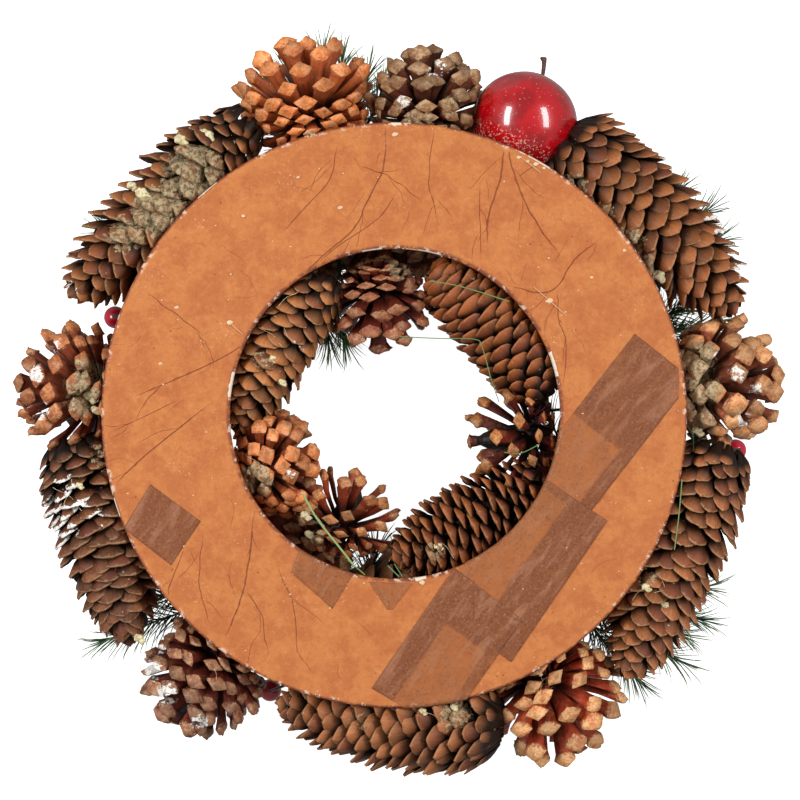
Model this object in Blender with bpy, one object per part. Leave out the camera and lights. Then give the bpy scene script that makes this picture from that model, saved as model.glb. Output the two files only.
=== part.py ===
"""A pinecone wreath, lying face down so that the flat back of its ring looks up.

A half-round foam ring is wrapped in brown craft paper and patched with parcel tape.
Spruce cones lie along the ring and open pine cones stand out from it, in an outer row,
an inner row and a front row. Red apples, berries on wire picks and sprigs of artificial
pine fill in between. Everything is glued on, so nothing moves.

Units are metres, +Z is up. The origin is under the middle of the wreath's box, on the
surface that it lies on.
"""

import math
from collections import namedtuple

import bmesh
import bpy
import numpy as np
from mathutils import Matrix, Vector

MM = 0.001

# The ring. Its flat back is BACK_Z above the surface that the wreath lies on.
BACK_Z = 88.0 * MM
RING_CENTRE = Vector((-1.454, -5.905, 0.0)) * MM
RING_OUTER_R = 150.0 * MM
RING_INNER_R = 84.5 * MM
RING_DEPTH = 35.0 * MM
RING_SEGMENTS = 54
PAPER_THICK = 0.6 * MM
FIT_GAP = 0.3 * MM
SECTION_STEPS = 8
PAPER_WRAP_STEPS = 2
TAPE_THICK = 0.3 * MM

RING_MID_R = (RING_OUTER_R + RING_INNER_R) / 2
RING_HALF_WIDTH = (RING_OUTER_R - RING_INNER_R) / 2
FOAM_INSET = PAPER_THICK + FIT_GAP
RING_FRONT_Z = BACK_Z - RING_DEPTH

# How far a glued piece keeps from the wrapped ring, and the least depth of its top below
# the back.
SEAT_GAP = 0.4 * MM
BELOW_BACK = 1.5 * MM
EDGE_SHARES = (0.125, 0.25, 0.375, 0.5, 0.625, 0.75, 0.875)

SPRUCE_ROWS = 9
SPRUCE_SCALES = 6
PINE_ROWS = 6
PINE_SCALES = 5

APPLE_R = 26.3 * MM
APPLE_DIMPLE = 0.74
BERRY_R = 6.0 * MM
WIRE_R = 0.8 * MM

# A cone: where its base and its tip are, seen from behind, in mm from the ring's centre,
# its largest radius, how far its tip leans towards the front, and its turn about its axis.
Cone = namedtuple("Cone", "name base tip radius lean roll")

SPRUCE_OUTER = [
    Cone("outer_spruce_cone_1", (96.0, 136.5), (179.0, 52.5), 24.5, 0.0, 10.0),
    Cone("outer_spruce_cone_2", (167.0, -24.0), (121.5, -135.0), 24.5, 0.0, 25.0),
    Cone("outer_spruce_cone_3", (46.0, -168.5), (-60.0, -157.5), 25.0, 0.0, 5.0),
    Cone("outer_spruce_cone_4", (-159.0, -23.0), (-134.0, -118.0), 24.0, 0.0, 40.0),
    Cone("outer_spruce_cone_5", (-86.0, 145.5), (-167.0, 64.5), 24.5, 0.0, 15.0),
]
PINE_OUTER = [
    Cone("outer_pine_cone_1", (-40.0, 139.0), (-52.0, 200.5), 31.0, 4.0, 0.0),
    Cone("outer_pine_cone_2", (13.0, 143.5), (19.0, 195.5), 26.0, 4.0, 20.0),
    Cone("outer_pine_cone_3", (141.0, 11.5), (206.0, 16.0), 31.0, 2.0, 10.0),
    Cone("outer_pine_cone_4", (70.0, -127.0), (101.5, -185.5), 30.0, 2.0, 30.0),
    Cone("outer_pine_cone_5", (-79.5, -119.0), (-117.0, -167.0), 29.0, 2.0, 5.0),
    Cone("outer_pine_cone_6", (-141.0, 10.5), (-202.0, 19.0), 31.0, 2.0, 15.0),
]
SPRUCE_INNER = [
    Cone("inner_spruce_cone_1", (-41.0, 70.0), (-79.5, -2.0), 19.0, 0.0, 10.0),
    Cone("inner_spruce_cone_2", (25.0, 77.0), (81.5, 16.0), 20.0, 0.0, 30.0),
    Cone("inner_spruce_cone_3", (3.0, -74.5), (73.0, -40.0), 20.5, 0.0, 20.0),
]
PINE_INNER = [
    Cone("inner_pine_cone_1", (-8.5, 84.0), (-6.0, 38.0), 20.5, 5.0, 0.0),
    Cone("inner_pine_cone_2", (84.0, -8.0), (38.0, -13.0), 21.0, 4.0, 15.0),
    Cone("inner_pine_cone_3", (-36.0, -77.0), (-20.0, -37.0), 20.0, 4.0, 30.0),
    Cone("inner_pine_cone_4", (-80.0, -28.0), (-42.0, -14.0), 21.0, 5.0, 20.0),
]

# The front row, by angle round the ring: pine cones stand on their tips, spruce cones
# lie along the ring, and apples point their stems outwards and to the front.
FRONT_PINE_DEG = [90.0, -29.5, -117.0, 124.5]
FRONT_PINE_R = 27.5
FRONT_SPRUCE_DEG = [46.0, -73.5, 168.0]
FRONT_SPRUCE_LENGTH = 98.0
FRONT_SPRUCE_RING_R = 114.5
FRONT_APPLE_DEG = [3.5, -149.5]
FRONT_STEM_DOWN_DEG = 30.0

OUTER_APPLE_AT = (70.0, 160.0)
OUTER_APPLE_DEPTH = 30.0 * MM
OUTER_APPLE_STEM = Vector((0.30, 0.80, -0.52))

# Parcel tape: the corners of each patch in mm from the ring's centre, its first edge to
# its last, and how many layers of tape lie under it. A patch is trimmed at the rims.
Tape = namedtuple("Tape", "name first last layer")
TAPES = [
    Tape("tape_patch_1", ((123.1, 41.0), (152.8, 17.4)), ((71.7, -24.6), (101.4, -48.1)), 0),
    Tape("tape_patch_2", ((77.3, -33.6), (108.5, -55.1)), ((27.7, -105.4), (58.9, -127.0)), 0),
    Tape("tape_patch_3", ((34.6, -82.4), (64.8, -105.5)), ((-5.6, -135.5), (24.6, -158.5)), 1),
    Tape("tape_patch_4", ((-124.7, -36.6), (-99.2, -55.3)), ((-138.2, -58.9), (-114.1, -77.6)), 0),
    Tape("tape_patch_5", ((-49.0, -72.5), (-21.5, -85.5)), ((-53.2, -81.3), (-32.2, -99.8)), 0),
    Tape("tape_patch_6", ((-13.6, -88.7), (8.7, -90.0)), ((-2.3, -100.2), (-1.3, -100.2)), 0),
]
TAPE_RIM_MARGIN = 1.5 * MM
TAPE_STEP = 8.0 * MM

# Sprigs of artificial pine: the angle at which each leaves the ring's flank, its reach
# from the ring's centre, its height at the tip, and how far its tip swings round.
Sprig = namedtuple("Sprig", "name angle reach height swing")
SPRIGS = [
    Sprig("pine_sprig_1", 104.8, 184.0, 14.0, -7.0),
    Sprig("pine_sprig_2", 109.2, 184.0, 14.0, 5.0),
    Sprig("pine_sprig_3", 33.0, 196.0, 14.0, 3.0),
    Sprig("pine_sprig_4", 18.0, 180.0, 14.0, -1.0),
    Sprig("pine_sprig_5", -45.5, 190.0, 14.0, 5.0),
    Sprig("pine_sprig_6", -101.0, 62.0, 16.0, 4.0),
    Sprig("pine_sprig_7", -133.0, 196.0, 14.0, -6.0),
    Sprig("pine_sprig_8", 140.5, 184.0, 14.0, 6.0),
    Sprig("pine_sprig_9", 107.0, 54.0, 16.0, 6.0),
    Sprig("pine_sprig_10", -45.5, 58.0, 16.0, 6.0),
]
SPRIG_FLANK_DEG = 67.5
SPRIG_DROP_DEG = 63.5
SPRIG_DROP = 16.0 * MM
SPRIG_STEM_R = 1.1 * MM
NEEDLE_LENGTH = 15.0 * MM

# Berries on wire picks: the angle where each wire leaves the ring, where on the ring's
# section in degrees from its outer rim, how far the berry swings round from there, its
# distance from the ring's centre and its height.
Berry = namedtuple("Berry", "name angle leaves swing reach height")
BERRIES = [
    Berry("berry_pick_1", 160.0, 67.5, 0.0, 154.0, 27.0),
    Berry("berry_pick_2", -5.5, 67.5, 0.0, 180.0, 12.0),
    Berry("berry_pick_3", -101.0, 67.5, -13.0, 160.0, 14.0),
    Berry("berry_pick_4", 2.5, 112.5, 0.0, 79.0, 30.0),
    Berry("berry_pick_5", 107.2, 90.0, 0.0, 117.0, 9.0),
    Berry("berry_pick_6", -12.6, 90.0, 0.0, 119.0, 9.0),
    Berry("berry_pick_7", 139.0, 67.5, 0.0, 137.0, 9.0),
    Berry("berry_pick_8", -133.3, 90.0, 0.0, 117.0, 9.0),
]


def clear_scene():
    for thing in list(bpy.data.objects):
        bpy.data.objects.remove(thing)


def make_material(name, colour, roughness):
    material = bpy.data.materials.new(name)
    material.use_nodes = True
    shader = material.node_tree.nodes["Principled BSDF"]
    shader.inputs["Base Color"].default_value = (*colour, 1.0)
    shader.inputs["Roughness"].default_value = roughness
    material.diffuse_color = (*colour, 1.0)
    return material


def add_piece(name, bm, material, matrix=None, smooth_deg=35.0):
    """Turns a bmesh into a named object with its own copy of a material."""
    bmesh.ops.recalc_face_normals(bm, faces=bm.faces)
    mesh = bpy.data.meshes.new(name)
    bm.to_mesh(mesh)
    bm.free()
    own = material.copy()
    own.name = name + "_" + material.name
    mesh.materials.append(own)
    mesh.shade_smooth()
    mesh.set_sharp_from_angle(angle=math.radians(smooth_deg))
    piece = bpy.data.objects.new(name, mesh)
    bpy.context.scene.collection.objects.link(piece)
    if matrix is not None:
        piece.matrix_world = matrix
    return piece


def on_ring(angle_deg, radius, height):
    """A point at an angle and a distance from the ring's axis."""
    angle = math.radians(angle_deg)
    flat = Vector((math.cos(angle), math.sin(angle), 0.0)) * radius
    return RING_CENTRE + flat + Vector((0.0, 0.0, height))


def circle(bm, radius, height, count):
    """A loop of vertices round the Z axis."""
    turns = [2 * math.pi * i / count for i in range(count)]
    return [bm.verts.new((radius * math.cos(t), radius * math.sin(t), height)) for t in turns]


def join_rings(bm, rings):
    """Skins a list of vertex loops of equal length, and caps the two end loops."""
    for low, high in zip(rings, rings[1:]):
        count = len(low)
        for i in range(count):
            j = (i + 1) % count
            bm.faces.new((low[i], low[j], high[j], high[i]))
    bm.faces.new(list(reversed(rings[0])))
    bm.faces.new(rings[-1])


def revolve_closed(bm, profile, segments):
    """Sweeps a closed outline of (radius, height) points right round the ring's axis."""
    loops = []
    for s in range(segments):
        angle = 2 * math.pi * s / segments
        turn = Vector((math.cos(angle), math.sin(angle), 0.0))
        loops.append([
            bm.verts.new(RING_CENTRE + turn * r + Vector((0.0, 0.0, z)))
            for r, z in profile
        ])
    for s in range(segments):
        here, there = loops[s], loops[(s + 1) % segments]
        for i in range(len(profile)):
            j = (i + 1) % len(profile)
            bm.faces.new((here[i], there[i], there[j], here[j]))


def half_round(inset, start_deg, end_deg, steps):
    """Points of the ring's half-round section, inset all round, by angle from the back."""
    points = []
    for i in range(steps + 1):
        t = math.radians(start_deg + (end_deg - start_deg) * i / steps)
        r = RING_MID_R + (RING_HALF_WIDTH - inset) * math.cos(t)
        z = BACK_Z - inset - (RING_DEPTH - inset) * math.sin(t)
        points.append((r, z))
    return points


def build_foam_ring(foam):
    bm = bmesh.new()
    revolve_closed(bm, half_round(FOAM_INSET, 0.0, 180.0, SECTION_STEPS), RING_SEGMENTS)
    add_piece("foam_ring", bm, foam)


def build_paper_cover(paper):
    """Paper over the flat back and part of the way down both flanks."""
    bm = bmesh.new()
    steps = PAPER_WRAP_STEPS
    wrap = 180.0 * steps / SECTION_STEPS
    outer = half_round(0.0, wrap, 0.0, steps)
    outer += half_round(0.0, 180.0, 180.0 - wrap, steps)
    inner = half_round(PAPER_THICK, 180.0 - wrap, 180.0, steps)
    inner += half_round(PAPER_THICK, 0.0, wrap, steps)
    revolve_closed(bm, outer + inner, RING_SEGMENTS)
    add_piece("paper_cover", bm, paper)


def trim_to_rims(point, middle):
    """Moves a point of a cross line towards the line's middle until it is on the back."""
    low, high = RING_INNER_R + TAPE_RIM_MARGIN, RING_OUTER_R - TAPE_RIM_MARGIN
    steps = 200
    for i in range(steps + 1):
        trial = point.lerp(middle, i / steps)
        if low <= trial.length <= high:
            return trial
    return middle


def build_tape(tape, material):
    """A thin patch on the flat back, made of cross lines trimmed at the ring's rims."""
    (a, b), (d, c) = [[Vector(corner) * MM for corner in e] for e in (tape.first, tape.last)]
    stations = max(1, round(max((d - a).length, (c - b).length) / TAPE_STEP))
    low = BACK_Z + FIT_GAP + tape.layer * (TAPE_THICK + FIT_GAP)
    left, right = [], []
    for i in range(stations + 1):
        p, q = a.lerp(d, i / stations), b.lerp(c, i / stations)
        left.append(trim_to_rims(p, (p + q) / 2))
        right.append(trim_to_rims(q, (p + q) / 2))
    bm = bmesh.new()
    sheets = []
    for z in (low, low + TAPE_THICK):
        rows = [
            [bm.verts.new(RING_CENTRE + Vector((*side[i], z))) for side in (left, right)]
            for i in range(stations + 1)
        ]
        for (p, q), (s, r) in zip(rows, rows[1:]):
            bm.faces.new((p, q, r, s))
        sheets.append([row[0] for row in rows] + [row[1] for row in reversed(rows)])
    lower, upper = sheets
    for i in range(len(lower)):
        j = (i + 1) % len(lower)
        bm.faces.new((lower[i], lower[j], upper[j], upper[i]))
    add_piece(tape.name, bm, material)


def spruce_outline(along):
    """The share of its largest radius that a spruce cone has at a share of its length."""
    widest = 0.36
    if along < widest:
        return math.sqrt(1.0 - ((widest - along) / 0.44) ** 2.4)
    return max(0.0, 1.0 - ((along - widest) / 0.67) ** 2.3) ** 0.62


def fill_length(bm, length):
    """Stretches a mesh along Z so that it runs from 0 to length."""
    low = min(v.co.z for v in bm.verts)
    high = max(v.co.z for v in bm.verts)
    for v in bm.verts:
        v.co.z = (v.co.z - low) * length / (high - low)


def spruce_cone_mesh(length, radius):
    """A spruce cone from its base up +Z: rows of scales whose lips overlap the next row."""
    bm = bmesh.new()
    segments = SPRUCE_SCALES * 2
    pitch = length / (SPRUCE_ROWS + 0.6)
    rings = []
    for row in range(SPRUCE_ROWS):
        valley_z = pitch * row
        lip_z = valley_z + pitch * 1.25
        valley_r = radius * spruce_outline((valley_z + pitch * 0.3) / length) * 0.78
        lip_r = radius * spruce_outline(min(lip_z / length, 0.985))
        valley, lip = [], []
        for s in range(segments):
            angle = math.pi * (s + row) / SPRUCE_SCALES
            middle = s % 2 == 0
            turn = Vector((math.cos(angle), math.sin(angle), 0.0))
            valley.append(bm.verts.new(turn * valley_r + Vector((0.0, 0.0, valley_z))))
            reach = lip_r if middle else lip_r * 0.88
            height = lip_z if middle else lip_z - pitch * 0.3
            lip.append(bm.verts.new(turn * reach + Vector((0.0, 0.0, height))))
        shift = row % segments
        rings.append(valley[-shift:] + valley[:-shift] if shift else valley)
        rings.append(lip[-shift:] + lip[:-shift] if shift else lip)
    join_rings(bm, rings)
    fill_length(bm, length)
    return bm


def pine_cone_mesh(length, radius):
    """An open pine cone from its base up +Z: every second cell of a slim core stands out
    as a scale that widens to its end, and the rows lean from base to tip."""
    bm = bmesh.new()
    segments = PINE_SCALES * 2
    core_r = radius * 0.30
    middle_z = length * 0.36
    rings = []
    for row in range(PINE_ROWS + 1):
        along = row / PINE_ROWS
        z = length * (0.03 + 0.80 * along)
        r = core_r * (1.0 - 0.72 * along ** 2.5)
        rings.append(circle(bm, r, z, segments))
    join_rings(bm, rings)
    cells = [f for f in bm.faces if len(f.verts) == 4]
    for index, cell in enumerate(cells):
        row, s = divmod(index, segments)
        if (row + s) % 2:
            continue
        angle = math.pi * (s + 0.5) / PINE_SCALES
        lean = math.radians(-26.0 + 88.0 * row / (PINE_ROWS - 1))
        reach_z = (length - middle_z) if lean > 0 else middle_z
        out = Vector((math.cos(angle), math.sin(angle), 0.0))
        end = out * radius * math.cos(lean) + Vector((0.0, 0.0, middle_z + reach_z * math.sin(lean)))
        facing = (out * math.cos(lean) + Vector((0.0, 0.0, math.sin(lean)))).normalized()
        side = Vector((0.0, 0.0, 1.0)).cross(out)
        up = facing.cross(side)
        half_wide = radius * (0.33 - 0.15 * row / (PINE_ROWS - 1))
        half_thick = radius * 0.125
        new = bmesh.ops.extrude_discrete_faces(bm, faces=[cell])["faces"][0]
        centre = new.calc_center_median()
        for vert in new.verts:
            away = vert.co - centre
            across = half_wide if away.dot(side) > 0 else -half_wide
            over = half_thick if away.dot(up) > 0 else -half_thick
            vert.co = end + side * across + up * over
    fill_length(bm, length)
    return bm


def cone_matrix(base, tip, roll_deg):
    """Stands a mesh built up +Z on base, pointing at tip."""
    along = tip - base
    turn = along.to_track_quat("Z", "Y").to_matrix().to_4x4()
    roll = Matrix.Rotation(math.radians(roll_deg), 4, "Z")
    return Matrix.Translation(base) @ turn @ roll


def sample_points(piece):
    """World points all over a piece: its corners and points along its edges."""
    corners = np.array([piece.matrix_world @ v.co for v in piece.data.vertices])
    ends = np.array([edge.vertices[:] for edge in piece.data.edges])
    a, b = corners[ends[:, 0]], corners[ends[:, 1]]
    return np.vstack([corners] + [a + (b - a) * share for share in EDGE_SHARES])


def touches_ring(points):
    """Whether any of these points is within SEAT_GAP of the ring's half-round section."""
    section = np.array(half_round(-SEAT_GAP, 180.0, 0.0, SECTION_STEPS))
    radii = np.hypot(points[:, 0] - RING_CENTRE.x, points[:, 1] - RING_CENTRE.y)
    surface = np.interp(radii, section[:, 0], section[:, 1], left=np.inf, right=np.inf)
    return bool(np.any(points[:, 2] > surface))


def slide_to_ring(piece, way, start, step=0.1 * MM, most=60.0 * MM):
    """Moves a piece from start along a direction until the next step would touch the ring."""
    points = sample_points(piece) + np.array(start)
    travel = start.copy()
    for _ in range(int(most / step)):
        points += np.array(way) * step
        if touches_ring(points):
            break
        travel += way * step
    piece.matrix_world = Matrix.Translation(travel) @ piece.matrix_world


def level_with_back(piece, drop=BELOW_BACK):
    """Lifts a piece so that its highest point lies just below the ring's back."""
    top = max((piece.matrix_world @ v.co).z for v in piece.data.vertices)
    piece.matrix_world = Matrix.Translation((0.0, 0.0, BACK_Z - drop - top)) @ piece.matrix_world


def build_cone(cone, mesh_maker, material):
    base = RING_CENTRE + Vector((*cone.base, 0.0)) * MM
    tip = RING_CENTRE + Vector((*cone.tip, -cone.lean)) * MM
    bm = mesh_maker((tip - base).length, cone.radius * MM)
    return add_piece(cone.name, bm, material, cone_matrix(base, tip, cone.roll))


def build_lying_cone(cone, material):
    """A spruce cone along the ring's flank, pressed up against its curve from the front."""
    piece = build_cone(cone, spruce_cone_mesh, material)
    level_with_back(piece)
    slide_to_ring(piece, Vector((0.0, 0.0, 1.0)), Vector((0.0, 0.0, -40.0 * MM)), most=40.0 * MM)


def build_standing_cone(cone, material):
    """A pine cone whose base is pushed against the ring's flank."""
    piece = build_cone(cone, pine_cone_mesh, material)
    level_with_back(piece)
    inwards = (Vector(cone.base) - Vector(cone.tip)).normalized().to_3d()
    slide_to_ring(piece, inwards, -inwards * 20.0 * MM)


def wire_rings(bm, path, radii, sides):
    """Loops of vertices across a path, each square to it."""
    rings = []
    for i, point in enumerate(path):
        ahead = path[min(i + 1, len(path) - 1)] - path[max(i - 1, 0)]
        turn = ahead.to_track_quat("Z", "Y").to_matrix()
        rings.append([
            bm.verts.new(point + turn @ Vector((math.cos(a), math.sin(a), 0.0)) * radii[i])
            for a in (2 * math.pi * s / sides for s in range(sides))
        ])
    return rings


def apple_mesh():
    """An apple round +Z, with a dimple at the stem's end and a shallow one opposite."""
    bm = bmesh.new()
    segments, steps = 14, 8
    profile = [(0.10 * APPLE_R, -0.86 * APPLE_R)]
    for i in range(steps + 1):
        t = math.pi * (0.08 + 0.84 * i / steps)
        profile.append((APPLE_R * math.sin(t), -0.95 * APPLE_R * math.cos(t)))
    profile.append((0.10 * APPLE_R, APPLE_DIMPLE * APPLE_R))
    join_rings(bm, [circle(bm, r, z, segments) for r, z in profile])
    return bm


def stem_mesh():
    """A curved stem that widens towards its cut end, standing in the apple's dimple."""
    bm = bmesh.new()
    foot = APPLE_R * APPLE_DIMPLE + FIT_GAP
    height = 16.0 * MM
    steps = 4
    path, radii = [], []
    for i in range(steps + 1):
        along = i / steps
        path.append(Vector((3.5 * MM * along ** 2, 0.0, foot + height * along)))
        radii.append((1.1 + 0.9 * along ** 2) * MM)
    join_rings(bm, wire_rings(bm, path, radii, 6))
    return bm


def build_apple(name, centre, stem_way, skin, stem):
    matrix = cone_matrix(centre, centre + stem_way, 0.0)
    apple = add_piece(name, apple_mesh(), skin, matrix, smooth_deg=60.0)
    add_piece(name + "_stem", stem_mesh(), stem, matrix)
    return apple


def build_outer_apple(skin, stem):
    """The apple of the outer row, pushed against the ring's flank with its stem."""
    inwards = -Vector(OUTER_APPLE_AT).normalized().to_3d()
    centre = RING_CENTRE + Vector((*OUTER_APPLE_AT, 0.0)) * MM
    centre.z = BACK_Z - OUTER_APPLE_DEPTH
    apple = build_apple("outer_apple", centre, OUTER_APPLE_STEM.normalized(), skin, stem)
    slide_to_ring(apple, inwards, Vector((0.0, 0.0, 0.0)))
    bpy.data.objects["outer_apple_stem"].matrix_world = apple.matrix_world


def fit_between(piece, low, high):
    """Scales a piece a little in height so that it spans exactly from low to high."""
    points = [piece.matrix_world @ v.co for v in piece.data.vertices]
    bottom, top = min(p.z for p in points), max(p.z for p in points)
    scale = (high - low) / (top - bottom)
    back = piece.matrix_world.inverted()
    for v, p in zip(piece.data.vertices, points):
        v.co = back @ Vector((p.x, p.y, low + (p.z - bottom) * scale))


def build_front_row(spruce, pine, apple_skin, stem):
    """Cones and apples between the ring's front and the surface that it lies on."""
    top_z = RING_FRONT_Z - SEAT_GAP
    for number, angle in enumerate(FRONT_PINE_DEG, 1):
        base = on_ring(angle, RING_MID_R, top_z)
        tip = on_ring(angle, RING_MID_R, 0.0)
        bm = pine_cone_mesh((tip - base).length, FRONT_PINE_R * MM)
        add_piece(f"front_pine_cone_{number}", bm, pine, cone_matrix(base, tip, angle))
    for number, angle in enumerate(FRONT_SPRUCE_DEG, 1):
        middle = on_ring(angle, FRONT_SPRUCE_RING_R * MM, top_z / 2)
        turn = math.radians(angle)
        along = Vector((-math.sin(turn), math.cos(turn), 0.0)) * FRONT_SPRUCE_LENGTH * MM / 2
        bm = spruce_cone_mesh(2 * along.length, top_z / 2)
        matrix = cone_matrix(middle - along, middle + along, 0.0)
        piece = add_piece(f"front_spruce_cone_{number}", bm, spruce, matrix)
        fit_between(piece, 0.0, top_z)
    down = math.radians(FRONT_STEM_DOWN_DEG)
    for number, angle in enumerate(FRONT_APPLE_DEG, 1):
        centre = on_ring(angle, RING_MID_R, top_z / 2)
        outwards = on_ring(angle, math.cos(down), 0.0) - RING_CENTRE
        way = outwards + Vector((0.0, 0.0, -math.sin(down)))
        piece = build_apple(f"front_apple_{number}", centre, way, apple_skin, stem)
        fit_between(piece, 0.0, top_z)


def smooth_path(points, steps):
    """Points along a smooth curve through a few given points (Catmull-Rom)."""
    ends = [2 * points[0] - points[1], *points, 2 * points[-1] - points[-2]]
    path = []
    for p, q, r, s in zip(ends, ends[1:], ends[2:], ends[3:]):
        for i in range(steps):
            t = i / steps
            path.append(0.5 * (2 * q + (r - p) * t + (2 * p - 5 * q + 4 * r - s) * t ** 2
                               + (3 * q - p - 3 * r + s) * t ** 3))
    path.append(points[-1])
    return path


def flank_point(angle_deg, section_deg, clear):
    """A point just off the ring's half-round section, by angle from its outer rim."""
    t = math.radians(section_deg)
    r = RING_MID_R + (RING_HALF_WIDTH + clear) * math.cos(t)
    return on_ring(angle_deg, r, BACK_Z - (RING_DEPTH + clear) * math.sin(t))


def build_sprig(sprig, material):
    """A wire stem with needles: every second side of each length of stem is drawn out
    into a pointed needle that leans towards the sprig's tip."""
    side = 180.0 if sprig.reach * MM < RING_MID_R else 0.0
    start = flank_point(sprig.angle, abs(side - SPRIG_FLANK_DEG), SEAT_GAP)
    drop = flank_point(sprig.angle, abs(side - SPRIG_DROP_DEG), SPRIG_DROP)
    turn = sprig.angle + sprig.swing
    knee_r = RING_MID_R + (sprig.reach * MM - RING_MID_R) * 0.5
    knee = on_ring(sprig.angle + sprig.swing * 0.5, knee_r, sprig.height * MM + 9.0 * MM)
    tip = on_ring(turn, sprig.reach * MM, sprig.height * MM)
    path = smooth_path([start, drop, knee, tip], 3)
    radii = [SPRIG_STEM_R * (1.0 - 0.5 * i / (len(path) - 1)) for i in range(len(path))]
    sides = 6
    bm = bmesh.new()
    join_rings(bm, wire_rings(bm, path, radii, sides))
    cells = [f for f in bm.faces if len(f.verts) == 4]
    first = (len(path) // 2) * sides
    for index, cell in enumerate(cells):
        row, side = divmod(index, sides)
        if index < first or (row + side) % 2:
            continue
        along = (path[row + 1] - path[row]).normalized()
        out = cell.calc_center_median() - (path[row] + path[row + 1]) / 2
        out = (out - along * out.dot(along)).normalized()
        out.z *= 0.35
        new = bmesh.ops.extrude_discrete_faces(bm, faces=[cell])["faces"][0]
        centre = new.calc_center_median()
        end = centre + (out.normalized() * 0.6 + along * 0.8) * NEEDLE_LENGTH
        for vert in new.verts:
            vert.co = end + (vert.co - centre) * 0.25
    add_piece(sprig.name, bm, material)


def build_berry(berry, material):
    """A round berry moulded on the end of its wire, as one piece."""
    start = flank_point(berry.angle, berry.leaves, SEAT_GAP)
    centre = on_ring(berry.angle + berry.swing, berry.reach * MM, berry.height * MM)
    neck = Vector((centre.x, centre.y, centre.z + BERRY_R + 5.0 * MM))
    path = [start, neck]
    radii = [WIRE_R] * len(path)
    steps = 6
    for i in range(steps + 1):
        t = math.pi * (0.06 + 0.88 * i / steps)
        path.append(centre + Vector((0.0, 0.0, BERRY_R * math.cos(t))))
        radii.append(BERRY_R * math.sin(t))
    bm = bmesh.new()
    join_rings(bm, wire_rings(bm, path, radii, 8))
    add_piece(berry.name, bm, material)


def main():
    clear_scene()
    foam = make_material("foam", (0.86, 0.84, 0.78), 0.7)
    paper = make_material("paper", (0.62, 0.25, 0.10), 0.75)
    tape = make_material("tape", (0.38, 0.16, 0.08), 0.35)
    spruce = make_material("spruce", (0.28, 0.13, 0.06), 0.7)
    pine = make_material("pine", (0.42, 0.20, 0.09), 0.65)
    apple = make_material("apple", (0.55, 0.01, 0.02), 0.12)
    stem = make_material("stem", (0.12, 0.05, 0.04), 0.7)
    needles = make_material("needles", (0.03, 0.12, 0.05), 0.5)
    berry_skin = make_material("berry", (0.50, 0.01, 0.05), 0.2)
    build_foam_ring(foam)
    build_paper_cover(paper)
    for patch in TAPES:
        build_tape(patch, tape)
    for cone in SPRUCE_OUTER + SPRUCE_INNER:
        build_lying_cone(cone, spruce)
    for cone in PINE_OUTER + PINE_INNER:
        build_standing_cone(cone, pine)
    build_outer_apple(apple, stem)
    build_front_row(spruce, pine, apple, stem)
    for sprig in SPRIGS:
        build_sprig(sprig, needles)
    for berry in BERRIES:
        build_berry(berry, berry_skin)


main()
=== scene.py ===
# %% [markdown]
# # A pinecone wreath, seen from behind
# The wreath lies face down. A half-round foam ring is wrapped in brown craft paper, and
# its flat back looks up. Cones, apples, berries and sprigs of artificial pine are glued
# round both of its flanks and along its front. This script dresses the solid model: it
# reads where each solid is, and makes a detailed piece for each in the same place.

# %% Load the solid model
import math
from collections import namedtuple

import bmesh
import bpy
import numpy as np
from mathutils import Matrix, Vector


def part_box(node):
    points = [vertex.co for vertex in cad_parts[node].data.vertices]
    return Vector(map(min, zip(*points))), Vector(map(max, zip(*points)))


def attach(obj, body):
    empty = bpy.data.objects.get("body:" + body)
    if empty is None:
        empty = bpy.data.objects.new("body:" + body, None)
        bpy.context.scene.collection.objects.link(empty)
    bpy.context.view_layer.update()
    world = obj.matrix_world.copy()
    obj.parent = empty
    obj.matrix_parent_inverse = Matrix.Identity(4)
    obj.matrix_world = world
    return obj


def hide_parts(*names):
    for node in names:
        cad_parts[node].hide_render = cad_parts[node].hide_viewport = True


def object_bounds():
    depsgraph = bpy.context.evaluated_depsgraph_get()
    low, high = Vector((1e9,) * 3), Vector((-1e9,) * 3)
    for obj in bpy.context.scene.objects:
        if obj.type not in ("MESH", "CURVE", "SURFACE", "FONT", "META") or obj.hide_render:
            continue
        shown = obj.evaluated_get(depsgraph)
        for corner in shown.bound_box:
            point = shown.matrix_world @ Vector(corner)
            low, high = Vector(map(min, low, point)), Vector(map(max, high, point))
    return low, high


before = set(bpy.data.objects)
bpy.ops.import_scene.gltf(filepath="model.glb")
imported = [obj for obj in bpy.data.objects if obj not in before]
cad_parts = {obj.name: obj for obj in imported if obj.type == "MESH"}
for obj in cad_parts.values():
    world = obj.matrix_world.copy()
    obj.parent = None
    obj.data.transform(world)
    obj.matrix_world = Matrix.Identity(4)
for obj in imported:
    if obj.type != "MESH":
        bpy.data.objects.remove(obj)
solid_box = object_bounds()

MM = 0.001
GOLDEN_DEG = 137.508
solid_size = [round(side / MM) for side in solid_box[1] - solid_box[0]]
print("solid model:", len(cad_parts), "nodes,", solid_size, "mm")

# %% [markdown]
# ## The ring that everything is measured from
# Most places on a wreath are easiest to give as an angle round the ring and a distance
# from its centre, as a wreath maker would. The centre, the outer rim and the height of
# the flat back are read from the solid paper cover, so they can't drift from the model.

# %% Measure the ring
cover_low, cover_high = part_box("paper_cover")
RING_CENTRE = Vector(((cover_low.x + cover_high.x) / 2, (cover_low.y + cover_high.y) / 2, 0.0))
OUTER_R = (cover_high.x - cover_low.x) / 2
INNER_R = 84.5 * MM
BACK_Z = cover_high.z
RING_DEPTH = 35.0 * MM
MID_R = (OUTER_R + INNER_R) / 2
HALF_WIDTH = (OUTER_R - INNER_R) / 2


def at(x_mm, y_mm, z=BACK_Z):
    """A point given in mm from the ring's centre, seen from behind."""
    return RING_CENTRE + Vector((x_mm * MM, y_mm * MM, z))


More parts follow.
